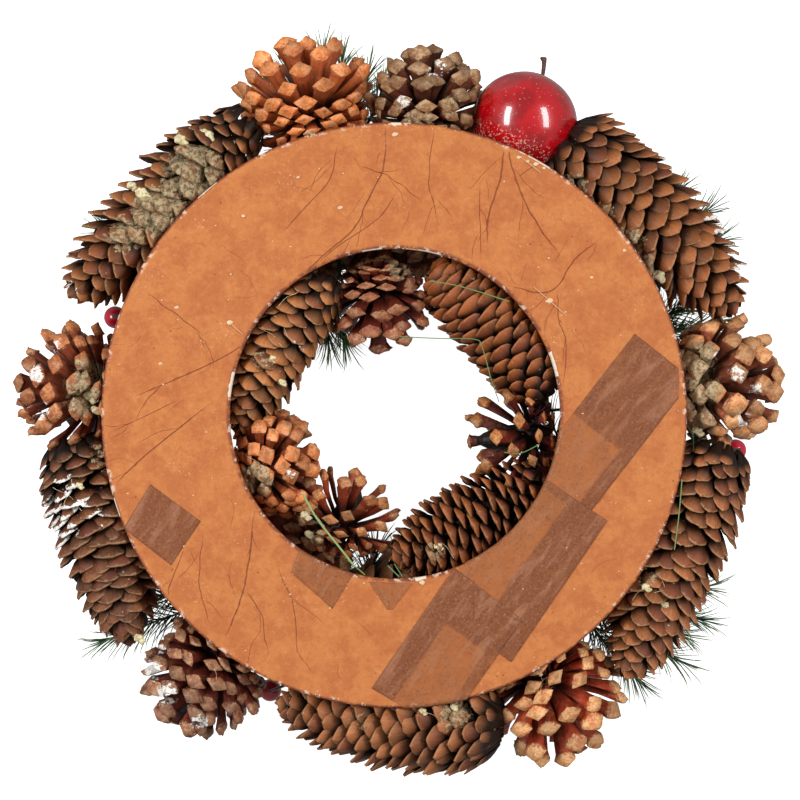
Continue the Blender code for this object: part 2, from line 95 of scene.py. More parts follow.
def on_ring(angle_deg, radius, z=BACK_Z):
    """A point by its angle round the ring and its distance from the centre."""
    angle = math.radians(angle_deg)
    return RING_CENTRE + Vector((radius * math.cos(angle), radius * math.sin(angle), z))


print("inner rim, outer rim and back:", [round(s / MM, 1) for s in (INNER_R, OUTER_R, BACK_Z)], "mm")

# %% [markdown]
# ## Maths on node sockets
# Both shaders and Geometry Nodes are graphs. Writing `1 - mask * 0.5` is easier to read
# than adding Math nodes one by one, so a small class wraps a socket and overloads the
# operators. Every other node comes from one method.

# %% A socket that can be used in sums
class Socket:
    """An output of a node, which takes part in sums by adding Math nodes."""

    def __init__(self, graph, socket):
        self.graph = graph
        self.socket = socket

    def beside(self, name):
        """Another output of the same node."""
        return Socket(self.graph, self.socket.node.outputs[name])

    def math(self, operation, *others):
        return self.graph.node("ShaderNodeMath", {"operation": operation}, (self, *others))

    def __add__(self, other):
        return self.math("ADD", other)

    def __sub__(self, other):
        return self.math("SUBTRACT", other)

    def __rsub__(self, other):
        return self.graph.node("ShaderNodeMath", {"operation": "SUBTRACT"}, (other, self))

    def __mul__(self, other):
        return self.math("MULTIPLY", other)

    def __truediv__(self, other):
        return self.math("DIVIDE", other)

    def __pow__(self, other):
        return self.math("POWER", other)

    def __neg__(self):
        return self.math("MULTIPLY", -1.0)

    __radd__ = __add__
    __rmul__ = __mul__


class Graph:
    """A node tree, with one method that adds any node."""

    def __init__(self, tree):
        self.tree = tree

    @staticmethod
    def pick(sockets, key):
        """The socket at a number or with a name, among those in use."""
        live = [s for s in sockets if s.enabled]
        return live[key] if isinstance(key, int) else next(s for s in live if s.name == key)

    def node(self, kind, settings=None, values=(), out=0):
        """Adds a node, sets it up, links or fills its inputs, and returns one output."""
        node = self.tree.nodes.new(kind)
        for name, value in (settings or {}).items():
            setattr(node, name, value)
        pairs = values.items() if isinstance(values, dict) else enumerate(values)
        for key, value in pairs:
            socket = self.pick(node.inputs, key)
            if isinstance(value, (Socket, list)):
                # A list is for an input that takes several links.
                for source in value if isinstance(value, list) else [value]:
                    self.tree.links.new(source.socket, socket)
            else:
                socket.default_value = value
        return Socket(self, self.pick(node.outputs, out))

    def vector(self, x, y, z):
        return self.node("ShaderNodeCombineXYZ", None, (x, y, z))

    def vector_math(self, operation, *values, out=0):
        return self.node("ShaderNodeVectorMath", {"operation": operation}, values, out)


print("a socket takes + - * / ** and a minus sign")

# %% [markdown]
# ## Finishes
# Each finish is a Principled shader. Only what changes over a surface is linked: colour,
# roughness, coat and bump. Patterns read Object coordinates, because every finished
# piece keeps its object at the origin, and scale patterns read attributes that the
# meshes carry.

# %% A finish and its helpers
def paint(red, green, blue):
    """A colour from 0 to 255 as a painter's chart gives it, as the linear light it needs."""
    shares = [c / 255.0 for c in (red, green, blue)]
    return tuple(s / 12.92 if s <= 0.04045 else ((s + 0.055) / 1.055) ** 2.4 for s in shares)


class Finish(Graph):
    """A material whose Principled shader is fed by patterns and attributes."""

    def __init__(self, name, roughness=0.6, **constants):
        self.material = bpy.data.materials.new(name)
        self.material.use_nodes = True
        super().__init__(self.material.node_tree)
        self.shader = self.tree.nodes["Principled BSDF"]
        self.shader.inputs["Roughness"].default_value = roughness
        for socket_name, value in constants.items():
            self.shader.inputs[socket_name.replace("_", " ")].default_value = value
        self.place = self.node("ShaderNodeTexCoord", out="Object")

    def noise(self, size, detail=3.0, roughness=0.55, distortion=0.0, vector=None):
        """Soft noise from 0 to 1 whose blobs are about `size` metres across."""
        values = {"Vector": vector or self.place, "Scale": 1.0 / size, "Detail": detail,
                  "Roughness": roughness, "Distortion": distortion}
        return self.node("ShaderNodeTexNoise", None, values)

    def cells(self, size):
        """Distance to the nearest of many strewn points that lie about `size` metres apart."""
        values = {"Vector": self.place, "Scale": 1.0 / size}
        return self.node("ShaderNodeTexVoronoi", None, values, "Distance")

    def step(self, value, low, high):
        """A soft step: 0 below low, 1 above high."""
        values = {"Value": value, "From Min": low, "From Max": high}
        return self.node("ShaderNodeMapRange", {"interpolation_type": "SMOOTHSTEP"}, values)

    def attribute(self, name):
        return self.node("ShaderNodeAttribute", {"attribute_name": name}, (), "Fac")

    def mix(self, first, second, share):
        """Two colours blended by a share from 0 to 1."""
        ends = [(*c, 1.0) if isinstance(c, tuple) else c for c in (first, second)]
        return self.node("ShaderNodeMix", {"data_type": "RGBA"}, (share, *ends))

    def layers(self, colour, *coats):
        """A colour under coats laid on in turn, each a colour and the share that it covers."""
        for coat, share in coats:
            colour = self.mix(colour, coat, share)
        return colour

    def shade(self, colour, share):
        """A colour made darker or lighter by a factor, either of which may vary."""
        if isinstance(colour, tuple):
            return tuple(c * share for c in colour)
        grey = self.node("ShaderNodeCombineColor", None, (share, share, share))
        settings = {"data_type": "RGBA", "blend_type": "MULTIPLY"}
        return self.node("ShaderNodeMix", settings, (1.0, colour, grey))

    def feed(self, socket_name, source):
        self.tree.links.new(source.socket, self.shader.inputs[socket_name])

    def relief(self, height, distance, strength=1.0):
        """Bump from a height of 0 to 1 that stands for `distance` metres."""
        values = {"Height": height, "Distance": distance, "Strength": strength}
        self.feed("Normal", self.node("ShaderNodeBump", None, values))


print("craft brown as linear light:", [round(c, 3) for c in paint(194, 118, 62)])

# %% [markdown]
# ## Pieces
# A piece is a mesh with its place in its vertices. Each one rides on the solid model's
# only body, stands for one solid node, and takes its finish.

# %% Make a mesh and a piece
def put_in_scene(name, data):
    """An object for a mesh, a light or a camera, linked to the scene."""
    made = bpy.data.objects.new(name, data)
    bpy.context.scene.collection.objects.link(made)
    return made


def mesh_from(name, points, faces, smooth=True):
    mesh = bpy.data.meshes.new(name)
    mesh.from_pydata([tuple(p) for p in points], [], [tuple(f) for f in faces])
    mesh.update()
    if smooth:
        mesh.shade_smooth()
    return mesh


def add_piece(name, mesh, finish, slot, *nodes):
    """Links a finished mesh as a piece that stands for the solid nodes named."""
    mesh.name = name
    mesh.materials.clear()
    mesh.materials.append(finish.material)
    piece = put_in_scene(name, mesh)
    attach(piece, "root")
    if nodes:
        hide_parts(*nodes)
    return piece


print("every piece rides on the root body")

# %% Faces over a grid of points
def grid_faces(rows, columns, wrap_rows=False, wrap_columns=False):
    """Quads over a grid of points numbered row by row."""
    row_ids = np.arange(rows if wrap_rows else rows - 1)
    column_ids = np.arange(columns if wrap_columns else columns - 1)
    i, j = np.meshgrid(row_ids, column_ids, indexing="ij")
    below, beside = (i + 1) % rows, (j + 1) % columns
    corners = [i * columns + j, below * columns + j, below * columns + beside, i * columns + beside]
    return np.stack([c.ravel() for c in corners], axis=1)


def capped_faces(rows, columns):
    """Faces of a grid that is closed round and has a cap at either end."""
    caps = [tuple(range(columns)), tuple(range((rows - 1) * columns, rows * columns))]
    return [*map(tuple, grid_faces(rows, columns, wrap_columns=True)), *caps]


def sheet_faces(rows, columns):
    """Faces of two grids, one over the other, joined round their borders."""
    count = rows * columns
    border = [*range(columns), *range(2 * columns - 1, count, columns),
              *range(count - 2, count - columns - 1, -1), *range(count - 2 * columns, 0, -columns)]
    ends = [(p, q, q + count, p + count) for p, q in zip(border, border[1:] + border[:1])]
    sides = grid_faces(rows, columns)
    return [*map(tuple, sides), *(tuple(f[::-1] + count) for f in sides), *ends]


def face_outwards(mesh):
    """Turns every face of a closed mesh to point outwards."""
    bm = bmesh.new()
    bm.from_mesh(mesh)
    bmesh.ops.recalc_face_normals(bm, faces=bm.faces)
    bm.to_mesh(mesh)
    bm.free()
    return mesh


print("faces of a plain, a capped and a doubled grid of 4 by 3 points:",
      len(grid_faces(4, 3)), len(capped_faces(4, 3)), len(sheet_faces(4, 3)))

# %% Read and write the points and values of a mesh
def set_attribute(mesh, name, values):
    """Gives each vertex its value, or all of them the same one."""
    layer = mesh.attributes.get(name) or mesh.attributes.new(name, "FLOAT", "POINT")
    layer.data.foreach_set("value", np.full(len(mesh.vertices), values, np.float32))


def points_of(mesh):
    flat = np.empty(len(mesh.vertices) * 3, np.float32)
    mesh.vertices.foreach_get("co", flat)
    return flat.reshape(-1, 3).astype(float)


def values_of(mesh, name):
    flat = np.zeros(len(mesh.vertices), np.float32)
    mesh.attributes[name].data.foreach_get("value", flat)
    return flat.astype(float)


def move_points(mesh, points):
    mesh.vertices.foreach_set("co", np.asarray(points, np.float32).ravel())
    mesh.update()


cover_points = points_of(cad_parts["paper_cover"].data)
print("the solid paper cover has", len(cover_points), "points")

# %% Soft steps, gentle waves and smooth paths
def soft_step(value, low, high):
    share = np.clip((value - low) / (high - low), 0.0, 1.0)
    return share * share * (3.0 - 2.0 * share)


RIPPLE_WAVES = 7
RIPPLE_HEIGHT = 3.2


def ripple(x, y, size, seed):
    """Gentle waves from about -1 to 1 over the plane, without a grid's regular look."""
    source = np.random.default_rng(seed)
    total = np.zeros_like(x)
    for _ in range(RIPPLE_WAVES):
        way, phase = source.uniform(0.0, 2.0 * math.pi, 2)
        pace = 2.0 * math.pi / (size * source.uniform(0.6, 1.7))
        total = total + np.sin(pace * (x * math.cos(way) + y * math.sin(way)) + phase)
    return total / RIPPLE_HEIGHT


def smooth_path(points, steps):
    """A smooth curve through a few points (Catmull-Rom)."""
    given = [Vector(p) for p in points]
    ends = [2 * given[0] - given[1], *given, 2 * given[-1] - given[-2]]
    path = []
    for p, q, r, s in zip(ends, ends[1:], ends[2:], ends[3:]):
        for i in range(steps):
            t = i / steps
            path.append(0.5 * (2 * q + (r - p) * t + (2 * p - 5 * q + 4 * r - s) * t ** 2
                               + (3 * q - p - 3 * r + s) * t ** 3))
    return path + [given[-1]]


print("half-way up a soft step:", soft_step(0.5, 0.0, 1.0))

# %% [markdown]
# ## Geometry Nodes
# Whatever follows a path or repeats is made by Geometry Nodes. A recipe is one tree with
# named inputs. It is run on a host mesh, and what comes out is kept as a plain mesh. The
# first recipe turns paths into round tubes: the ridges of creases, threads, stems and wires.

# %% A Geometry Nodes tree with named inputs
class Recipe(Graph):
    """A Geometry Nodes tree with named inputs, which turns a host mesh into a plain mesh."""

    def __init__(self, name):
        super().__init__(bpy.data.node_groups.new(name, "GeometryNodeTree"))
        self.tree.interface.new_socket("Shape", in_out="OUTPUT", socket_type="NodeSocketGeometry")
        self.keys = {}
        self.entry = self.tree.nodes.new("NodeGroupInput")
        self.given = self.ask("Path", "NodeSocketGeometry")

    def ask(self, name, kind="NodeSocketFloat"):
        item = self.tree.interface.new_socket(name, in_out="INPUT", socket_type=kind)
        self.keys[name] = item.identifier
        return Socket(self, next(s for s in self.entry.outputs if s.identifier == item.identifier))

    def finish_with(self, shape):
        """Ends the tree in Realize Instances and Set Material."""
        whole = self.node("GeometryNodeRealizeInstances", None, (shape,))
        stuff = self.ask("Material", "NodeSocketMaterial")
        painted = self.node("GeometryNodeSetMaterial", None, {"Geometry": whole, "Material": stuff})
        exit_node = self.tree.nodes.new("NodeGroupOutput")
        self.tree.links.new(painted.socket, exit_node.inputs[0])

    def make(self, host_mesh, **values):
        """Runs the tree on a host mesh and returns the result as a plain mesh."""
        host = put_in_scene("host", host_mesh)
        modifier = host.modifiers.new("recipe", "NODES")
        modifier.node_group = self.tree
        for name, value in values.items():
            modifier[self.keys[name]] = value
        graph = bpy.context.evaluated_depsgraph_get()
        mesh = bpy.data.meshes.new_from_object(host.evaluated_get(graph))
        host.modifiers.remove(modifier)
        bpy.data.objects.remove(host)
        return mesh

    def arc(self, first, middle, last, share):
        """A smooth change through three values along a share from 0 to 1."""
        rest = 1 - share
        return first * rest * rest + middle * rest * share * 2 + last * share * share

    def random(self, low, high, seed):
        values = {"Min": low, "Max": high, "Seed": seed}
        return self.node("FunctionNodeRandomValue", {"data_type": "FLOAT"}, values)

    def label(self, shape, name, value):
        """Stores a value on the points, so that a finish can read it."""
        values = {"Geometry": shape, "Name": name, "Value": value}
        return self.node("GeometryNodeStoreNamedAttribute", {"data_type": "FLOAT"}, values)


# %% Tubes along paths, drops of glue, and joining meshes
def tube_tree():
    """A round tube along a path, whose thickness varies with the path's own attribute."""
    tube = Recipe("tube")
    radius, sides = tube.ask("Radius"), tube.ask("Sides", "NodeSocketInt")
    curve = tube.node("GeometryNodeMeshToCurve", None, (tube.given,))
    thick = tube.node("GeometryNodeInputNamedAttribute", {"data_type": "FLOAT"}, ("thick",))
    ring = tube.node("GeometryNodeCurvePrimitiveCircle", None, {"Resolution": sides, "Radius": radius})
    values = {"Curve": curve, "Profile Curve": ring, "Scale": thick, "Fill Caps": True}
    solid = tube.node("GeometryNodeCurveToMesh", None, values)
    tube.finish_with(tube.node("GeometryNodeSetShadeSmooth", None, (solid,)))
    return tube


tube_recipe = tube_tree()


def path_mesh(*paths):
    """A mesh of edges along any number of paths, each a list of (point, thickness)."""
    points, edges, thick = [], [], []
    for path in paths:
        edges += [(len(points) + i, len(points) + i + 1) for i in range(len(path) - 1)]
        points += [tuple(point) for point, _ in path]
        thick += [share for _, share in path]
    mesh = bpy.data.meshes.new("path")
    mesh.from_pydata(points, edges, [])
    set_attribute(mesh, "thick", thick)
    return mesh


def tube(points, radius, sides=8, thick=None):
    return tubes([list(zip(points, thick or [1.0] * len(points)))], radius, sides)


def tubes(paths, radius, sides=6):
    return tube_recipe.make(path_mesh(*paths), Radius=radius, Sides=sides)


GLUE_LUMPS = 0.22


def drop(place, radii, seed, fineness=3):
    """A lumpy drop of glue: its radii are given along X, Y and Z."""
    bm = bmesh.new()
    bmesh.ops.create_icosphere(bm, subdivisions=fineness, radius=1.0)
    phase = seed * 1.7
    for vertex in bm.verts:
        x, y, z = vertex.co * 2.1
        lump = math.sin(x * 1.3 + phase) * math.sin(y * 1.6 - phase)
        lump += 0.5 * math.sin(2.3 * z + 3.1 * x + phase)
        vertex.co *= 1.0 + GLUE_LUMPS * lump
        vertex.co = Vector(place) + Vector(c * r for c, r in zip(vertex.co, radii))
    mesh = bpy.data.meshes.new("drop")
    bm.to_mesh(mesh)
    bm.free()
    return mesh


def joined(name, meshes):
    """One mesh made of several, with the attributes they share kept."""
    bm = bmesh.new()
    for mesh in meshes:
        bm.from_mesh(mesh)
    whole = bpy.data.meshes.new(name)
    bm.to_mesh(whole)
    bm.free()
    whole.shade_smooth()
    return whole


print("tube recipe:", len(tube_recipe.tree.nodes), "nodes,", len(tube_recipe.keys), "inputs")

# %% [markdown]
# ## The paper cover
# Craft paper was wetted with glue, pulled over the flat back and folded over both rims.
# It dried with a gentle swell and with hairline creases that fan out from the rims and
# branch. The creases are given as a few points each, in mm from the ring's centre. The
# paper's fine grid steps up across each crease, a thin ridge runs along it, and shade is painted along it,
# darkest on the ridge.

# %% Creases and the height of the paper
# A crease's width is a factor on its ridge, and its height is in mm.
Crease = namedtuple("Crease", "width height points")
CREASES = [Crease(*row) for row in [
    (1.2, 0.9, [(-5, 147), (-6, 127), (-15, 108), (-22, 94), (-38, 80), (-52, 66)]),
    (0.9, 0.6, [(1, 114), (-9, 100), (-29, 86), (-40, 77)]),
    (1.0, 0.8, [(-71, 40), (-87, 29), (-110, 18), (-136, 7)]),
    (1.2, 0.8, [(-93, 6), (-118, -14), (-131, -25), (-142, -36)]),
    (0.8, 0.5, [(-110, 7), (-128, -2), (-145, -10)]),
    (1.2, 0.8, [(-72, -50), (-74, -72), (-77, -90), (-82, -104), (-86, -113)]),
    (0.8, 0.5, [(-77, -90), (-68, -104), (-65, -124)]),
    (0.8, 0.5, [(-108, -70), (-116, -91)]),
    (1.2, 0.9, [(56, 140), (54, 121), (48, 102), (47, 86)]),
    (1.1, 0.8, [(57, 140), (62, 121), (73, 98), (85, 81)]),
    (1.2, 0.7, [(107, 91), (92, 79), (83, 65), (73, 62), (57, 66)]),
    (0.8, 0.5, [(43, 117), (44, 81)]),
    (0.8, 0.4, [(62, 121), (76, 131)]),
    (0.9, 0.5, [(-30, 140), (-34, 120), (-48, 104), (-58, 92)]),
    (0.9, 0.4, [(-128, 62), (-112, 50), (-98, 40)]),
    (0.9, 0.5, [(83, 65), (84, 48), (88, 34), (86, 12)]),
    (0.8, 0.4, [(20, 147), (17, 122), (22, 98)]),
    (0.8, 0.4, [(-20, 128), (-2, 121), (14, 108)]),
    (0.8, 0.4, [(-98, -62), (-100, -86), (-94, -108)]),
    (0.8, 0.4, [(-60, -78), (-52, -98), (-50, -122)]),
]]
BRANCH_SIZE = (0.55, 0.3)
FAINT_SIZE = (0.4, 0.15)
BRANCHES = 2
LOOSE_CREASES = 40
WANDER = 0.45 * MM
SWELL = 0.4 * MM
# The waves of the swell: size, seed and share.
SWELL_WAVES = [(60 * MM, 1, 0.6), (15 * MM, 2, 0.22), (6 * MM, 5, 0.12)]
# The paper steps up across a crease: how steep, how far it is felt, and how high.
STEP_WIDTH, STEP_REACH, STEP_SHARE = 0.8 * MM, 4.0 * MM, 0.32
LINE_REACH = 1.3 * MM
FULL_HEIGHT = 0.8


def swept(start_x, start_y, way, reach, bend):
    """Three points of a slightly bent line, in mm."""
    cos, sin = math.cos(way), math.sin(way)
    line = []
    for t, s in ((0.0, 0.0), (0.5, 1.0), (1.0, 0.0)):
        ahead, aside = reach * t, bend * reach * s
        line.append((start_x + ahead * cos - aside * sin, start_y + ahead * sin + aside * cos))
    return line


def fine_creases():
    """Branches that leave the main creases, and faint ones strewn over the back."""
    source = np.random.default_rng(11)
    creases = []
    for crease in CREASES:
        for _ in range(BRANCHES):
            k = source.integers(0, len(crease.points) - 1)
            (x0, y0), (x1, y1) = crease.points[k], crease.points[k + 1]
            share = source.uniform(0.2, 0.9)
            turn = source.choice((-1.0, 1.0)) * math.radians(source.uniform(12.0, 38.0))
            way = math.atan2(y1 - y0, x1 - x0) + turn
            start = (x0 + share * (x1 - x0), y0 + share * (y1 - y0))
            line = swept(*start, way, source.uniform(9.0, 26.0), source.uniform(-0.12, 0.12))
            creases.append(Crease(*BRANCH_SIZE, line))
    for _ in range(LOOSE_CREASES):
        angle = source.uniform(0.0, 360.0)
        start = on_ring(angle, source.uniform(90.0, 142.0) * MM) - RING_CENTRE
        way = math.radians(angle + source.normal(35.0, 35.0))
        line = swept(start.x / MM, start.y / MM, way, source.uniform(6.0, 20.0), source.uniform(-0.15, 0.15))
        creases.append(Crease(*FAINT_SIZE, line))
    return creases


def distance_to_path(x, y, path):
    """How far each point of the plane is from a path, with its sign by side."""
    nearest = np.full(x.shape, np.inf)
    side = np.ones(x.shape)
    for p, q in zip(path, path[1:]):
        run = q - p
        share = np.clip(((x - p.x) * run.x + (y - p.y) * run.y) / run.length_squared, 0.0, 1.0)
        away_x, away_y = x - p.x - share * run.x, y - p.y - share * run.y
        distance = np.hypot(away_x, away_y)
        closer = distance < nearest
        nearest = np.where(closer, distance, nearest)
        side = np.where(closer, np.sign(run.x * away_y - run.y * away_x), side)
    return nearest, side


def crease_path(points):
    """A smooth path through a crease's points that wanders a little, as paper does."""
    path = [p.to_3d() for p in smooth_path([at(*p, 0.0) for p in points], 7)]
    x, y = np.array([p.x for p in path]), np.array([p.y for p in path])
    shift = WANDER * ripple(x, y, 7 * MM, 3)
    return [Vector((p.x + s, p.y + 0.6 * s, 0.0)) for p, s in zip(path, shift)]


ALL_CREASES = [(crease, crease_path(crease.points)) for crease in CREASES + fine_creases()]


def paper_relief(x, y):
    """Rise of the paper over the flat back, and how close each point is to a crease."""
    radius = np.hypot(x - RING_CENTRE.x, y - RING_CENTRE.y)
    flat = soft_step(radius, INNER_R, INNER_R + 5 * MM) * soft_step(-radius, -OUTER_R, -OUTER_R + 5 * MM)
    rise = SWELL * sum(ripple(x, y, size, seed) * share for size, seed, share in SWELL_WAVES)
    closeness = np.zeros(x.shape)
    for crease, path in ALL_CREASES:
        distance, side = distance_to_path(x, y, path)
        across = np.tanh(distance * side / STEP_WIDTH)
        beside = np.exp(-(distance / STEP_REACH) ** 2)
        rise = rise + crease.height * MM * STEP_SHARE * across * beside
        near = np.exp(-(distance / LINE_REACH) ** 2) * min(1.0, crease.height / FULL_HEIGHT)
        closeness = np.maximum(closeness, near)
    return rise * flat, closeness


print("paper:", len(ALL_CREASES), "creases")

# %% [markdown]
# The cover is a closed skin: a fine outer side that follows the ring's section, from
# half-way down the inner flank over both rounded rims to half-way down the outer flank,
# and a plain inner side close under it.

# %% Build the paper cover
PAPER_THICK = 0.5 * MM
RIM_ROUND = 1.3 * MM
WRAP_DEG = 45.0
RING_STEPS = 720
FLAT_STEPS = 58
FLANK_STEPS = 8
RIDGE_R = 0.28 * MM
FLECKS = 60
# Worn spans of a rim: first and last angle, depth in mm, and whether it is the inner rim.
BARE = [(166, 176, 2.2, True), (13, 22, 2.6, True), (95, 102, 0.9, True),
        (74, 88, 0.7, True), (277, 281, 2.4, True), (58, 66, 1.5, False),
        (128, 133, 1, False), (197, 201, 1, False), (89, 91, 2.4, False)]
# Drops of glue on the paper: x, y and size in mm, measured from the ring's centre.
DROPS = [(-28.4, 105.5, 1.3), (-78.1, 100.9, 1), (-111.9, 53.8, 1.2), (-84.7, 46.1, 1.6),
         (79.1, 57.9, 1.8), (63.7, 132, 1.2), (68, 130, 1), (72.5, 128.5, 1.4),
         (76.5, 126.5, 1), (-0.3, 143.5, 1.6), (13.6, -86.5, 1.5), (-50, 121, 0.9),
         (101, 70, 0.9), (-120, 25, 1), (118, 84, 1)]
# Threads that the glue pulled: x and y of one end and of the other.
THREADS = [(79.1, 57.9, 71, 65), (79.1, 57.9, 88, 50), (66, 131, 75, 124),
           (-84.7, 46.1, -78, 40)]
THREAD_R = 0.16 * MM
THREAD_LIFTS_MM = [0.5, 1.1, 1.3, 0.9, 0.5]


def flank(inset, start_deg, end_deg, steps):
    """Radius and height down the ring's outer flank, by angle from the back."""
    turns = np.radians(np.linspace(start_deg, end_deg, steps))
    radius = MID_R + (HALF_WIDTH - inset) * np.cos(turns)
    return np.stack([radius, BACK_Z - (RING_DEPTH - inset) * np.sin(turns)], 1)


def rim(inset):
    """The rounded corner from the flat back to the outer flank."""
    turns = np.radians(np.linspace(0.0, 80.0, 5))
    radius = OUTER_R - inset - RIM_ROUND * (1.0 - np.sin(turns))
    return np.stack([radius, BACK_Z - inset - RIM_ROUND * (1.0 - np.cos(turns))], 1)


def mirrored(section):
    """The same stretch of section on the inner flank, in reverse order."""
    return np.stack([2 * MID_R - section[::-1, 0], section[::-1, 1]], 1)


def paper_skin(inset, flat_steps, flank_steps):
    """The section from the inner flank over the back to the outer flank."""
    outer = np.vstack([rim(inset), flank(inset, 5.0, WRAP_DEG, flank_steps)])
    inner = mirrored(outer)
    span = np.linspace(inner[-1, 0], outer[0, 0], flat_steps + 1)[1:-1]
    flat = np.stack([span, np.full(span.shape, BACK_Z - inset)], 1)
    return np.vstack([inner, flat, outer])


def turned(section, angles):
    """Every point of a section at every angle round the ring."""
    x = RING_CENTRE.x + section[None, :, 0] * np.cos(angles)[:, None]
    y = RING_CENTRE.y + section[None, :, 0] * np.sin(angles)[:, None]
    return np.stack([x, y, np.broadcast_to(section[None, :, 1], x.shape)], 2)


def build_sheet():
    """The closed sheet itself, with the shade painted near its creases and how worn bare it is."""
    angles = np.linspace(0.0, 2 * math.pi, RING_STEPS, endpoint=False)
    outside = turned(paper_skin(0.0, FLAT_STEPS, FLANK_STEPS), angles)
    rise, closeness = paper_relief(outside[..., 0], outside[..., 1])
    outside[..., 2] += rise
    torn = 1.0 + 0.5 * ripple(angles * 117 * MM, angles * 0.0, 22 * MM, 4)
    outside[:, 0, 2] -= torn * 1.2 * MM
    outside[:, -1, 2] -= torn * 1.2 * MM
    inside = turned(paper_skin(PAPER_THICK, 6, 4)[::-1], angles)
    inside[:, 0, 2] = outside[:, -1, 2]
    inside[:, -1, 2] = outside[:, 0, 2]
    points = np.concatenate([outside, inside], axis=1)
    faces = grid_faces(RING_STEPS, points.shape[1], wrap_rows=True, wrap_columns=True)
    mesh = face_outwards(mesh_from("paper_cover_skin", points.reshape(-1, 3), faces))
    # Painted shade near each crease, kept on the points for the finish.
    fold = np.zeros(points.shape[:2])
    fold[:, :outside.shape[1]] = closeness * 0.45
    set_attribute(mesh, "fold", fold.ravel())
    radius = np.hypot(points[..., 0] - RING_CENTRE.x, points[..., 1] - RING_CENTRE.y)
    bare = np.zeros(points.shape[:2])
    for first, last, depth, inner in BARE:
        turn = (np.degrees(angles) - first) % 360.0
        inside_span = (turn < last - first)[:, None]
        deep = (radius - INNER_R if inner else OUTER_R - radius) / MM
        bare = np.maximum(bare, inside_span * (1 - soft_step(deep, depth * 0.5, depth)))
    set_attribute(mesh, "bare", bare.ravel())
    return mesh


def build_ridges():
    """A thin ridge along every crease, thinning out at its ends."""
    paths = []
    for crease, line in ALL_CREASES:
        x, y = np.array([p.x for p in line]), np.array([p.y for p in line])
        radius = np.hypot(x - RING_CENTRE.x, y - RING_CENTRE.y)
        rise, _ = paper_relief(x, y)
        keep = (radius > INNER_R + 1.5 * MM) & (radius < OUTER_R - 1.5 * MM)
        shares = np.linspace(0.0, 1.0, len(line))
        thick = crease.width * np.clip(np.minimum(shares, 1 - shares) * 6, 0.25, 1.0)
        path = [(Vector((px, py, BACK_Z + h - 0.03 * MM)), t)
                for px, py, h, t, k in zip(x, y, rise, thick, keep) if k]
        if len(path) > 2:
            paths.append(path)
    mesh = tubes(paths, RIDGE_R, 5)
    # The ridges carry the full painted crease shade.
    set_attribute(mesh, "fold", 1.0)
    return mesh


def build_flecks():
    """Dried drops of glue on the paper, and the white threads some of them pulled."""
    source = np.random.default_rng(3)
    drops = [drop(at(x, y, BACK_Z + 0.2 * MM), (size * MM, size * 0.7 * MM, 0.5 * MM), k)
             for k, (x, y, size) in enumerate(DROPS)]
    for k in range(FLECKS):
        angle, radius = source.uniform(0.0, 360.0), source.uniform(INNER_R + 3 * MM, OUTER_R - 3 * MM)
        size = source.uniform(0.2, 0.45) * MM
        radii = (size * source.uniform(1, 2), size, 0.25 * MM)
        drops.append(drop(on_ring(angle, radius, BACK_Z + 0.2 * MM), radii, k, 2))
    threads = []
    for x0, y0, x1, y1 in THREADS:
        threads.append([(at(x0 + (x1 - x0) * t, y0 + (y1 - y0) * t, BACK_Z + h * MM), 1.0)
                        for t, h in zip(np.linspace(0, 1, 5), THREAD_LIFTS_MM)])
    mesh = joined("flecks", [*drops, tubes(threads, THREAD_R, 5)])
    set_attribute(mesh, "glue", 1.0)
    return mesh


def radius_from_centre(finish):
    """Distance from the ring's axis, in mm, as a socket."""
    level = finish.vector_math("MULTIPLY", finish.place, (1.0, 1.0, 0.0))
    centre = (RING_CENTRE.x, RING_CENTRE.y, 0.0)
    return finish.vector_math("DISTANCE", level, centre, out="Value") / MM


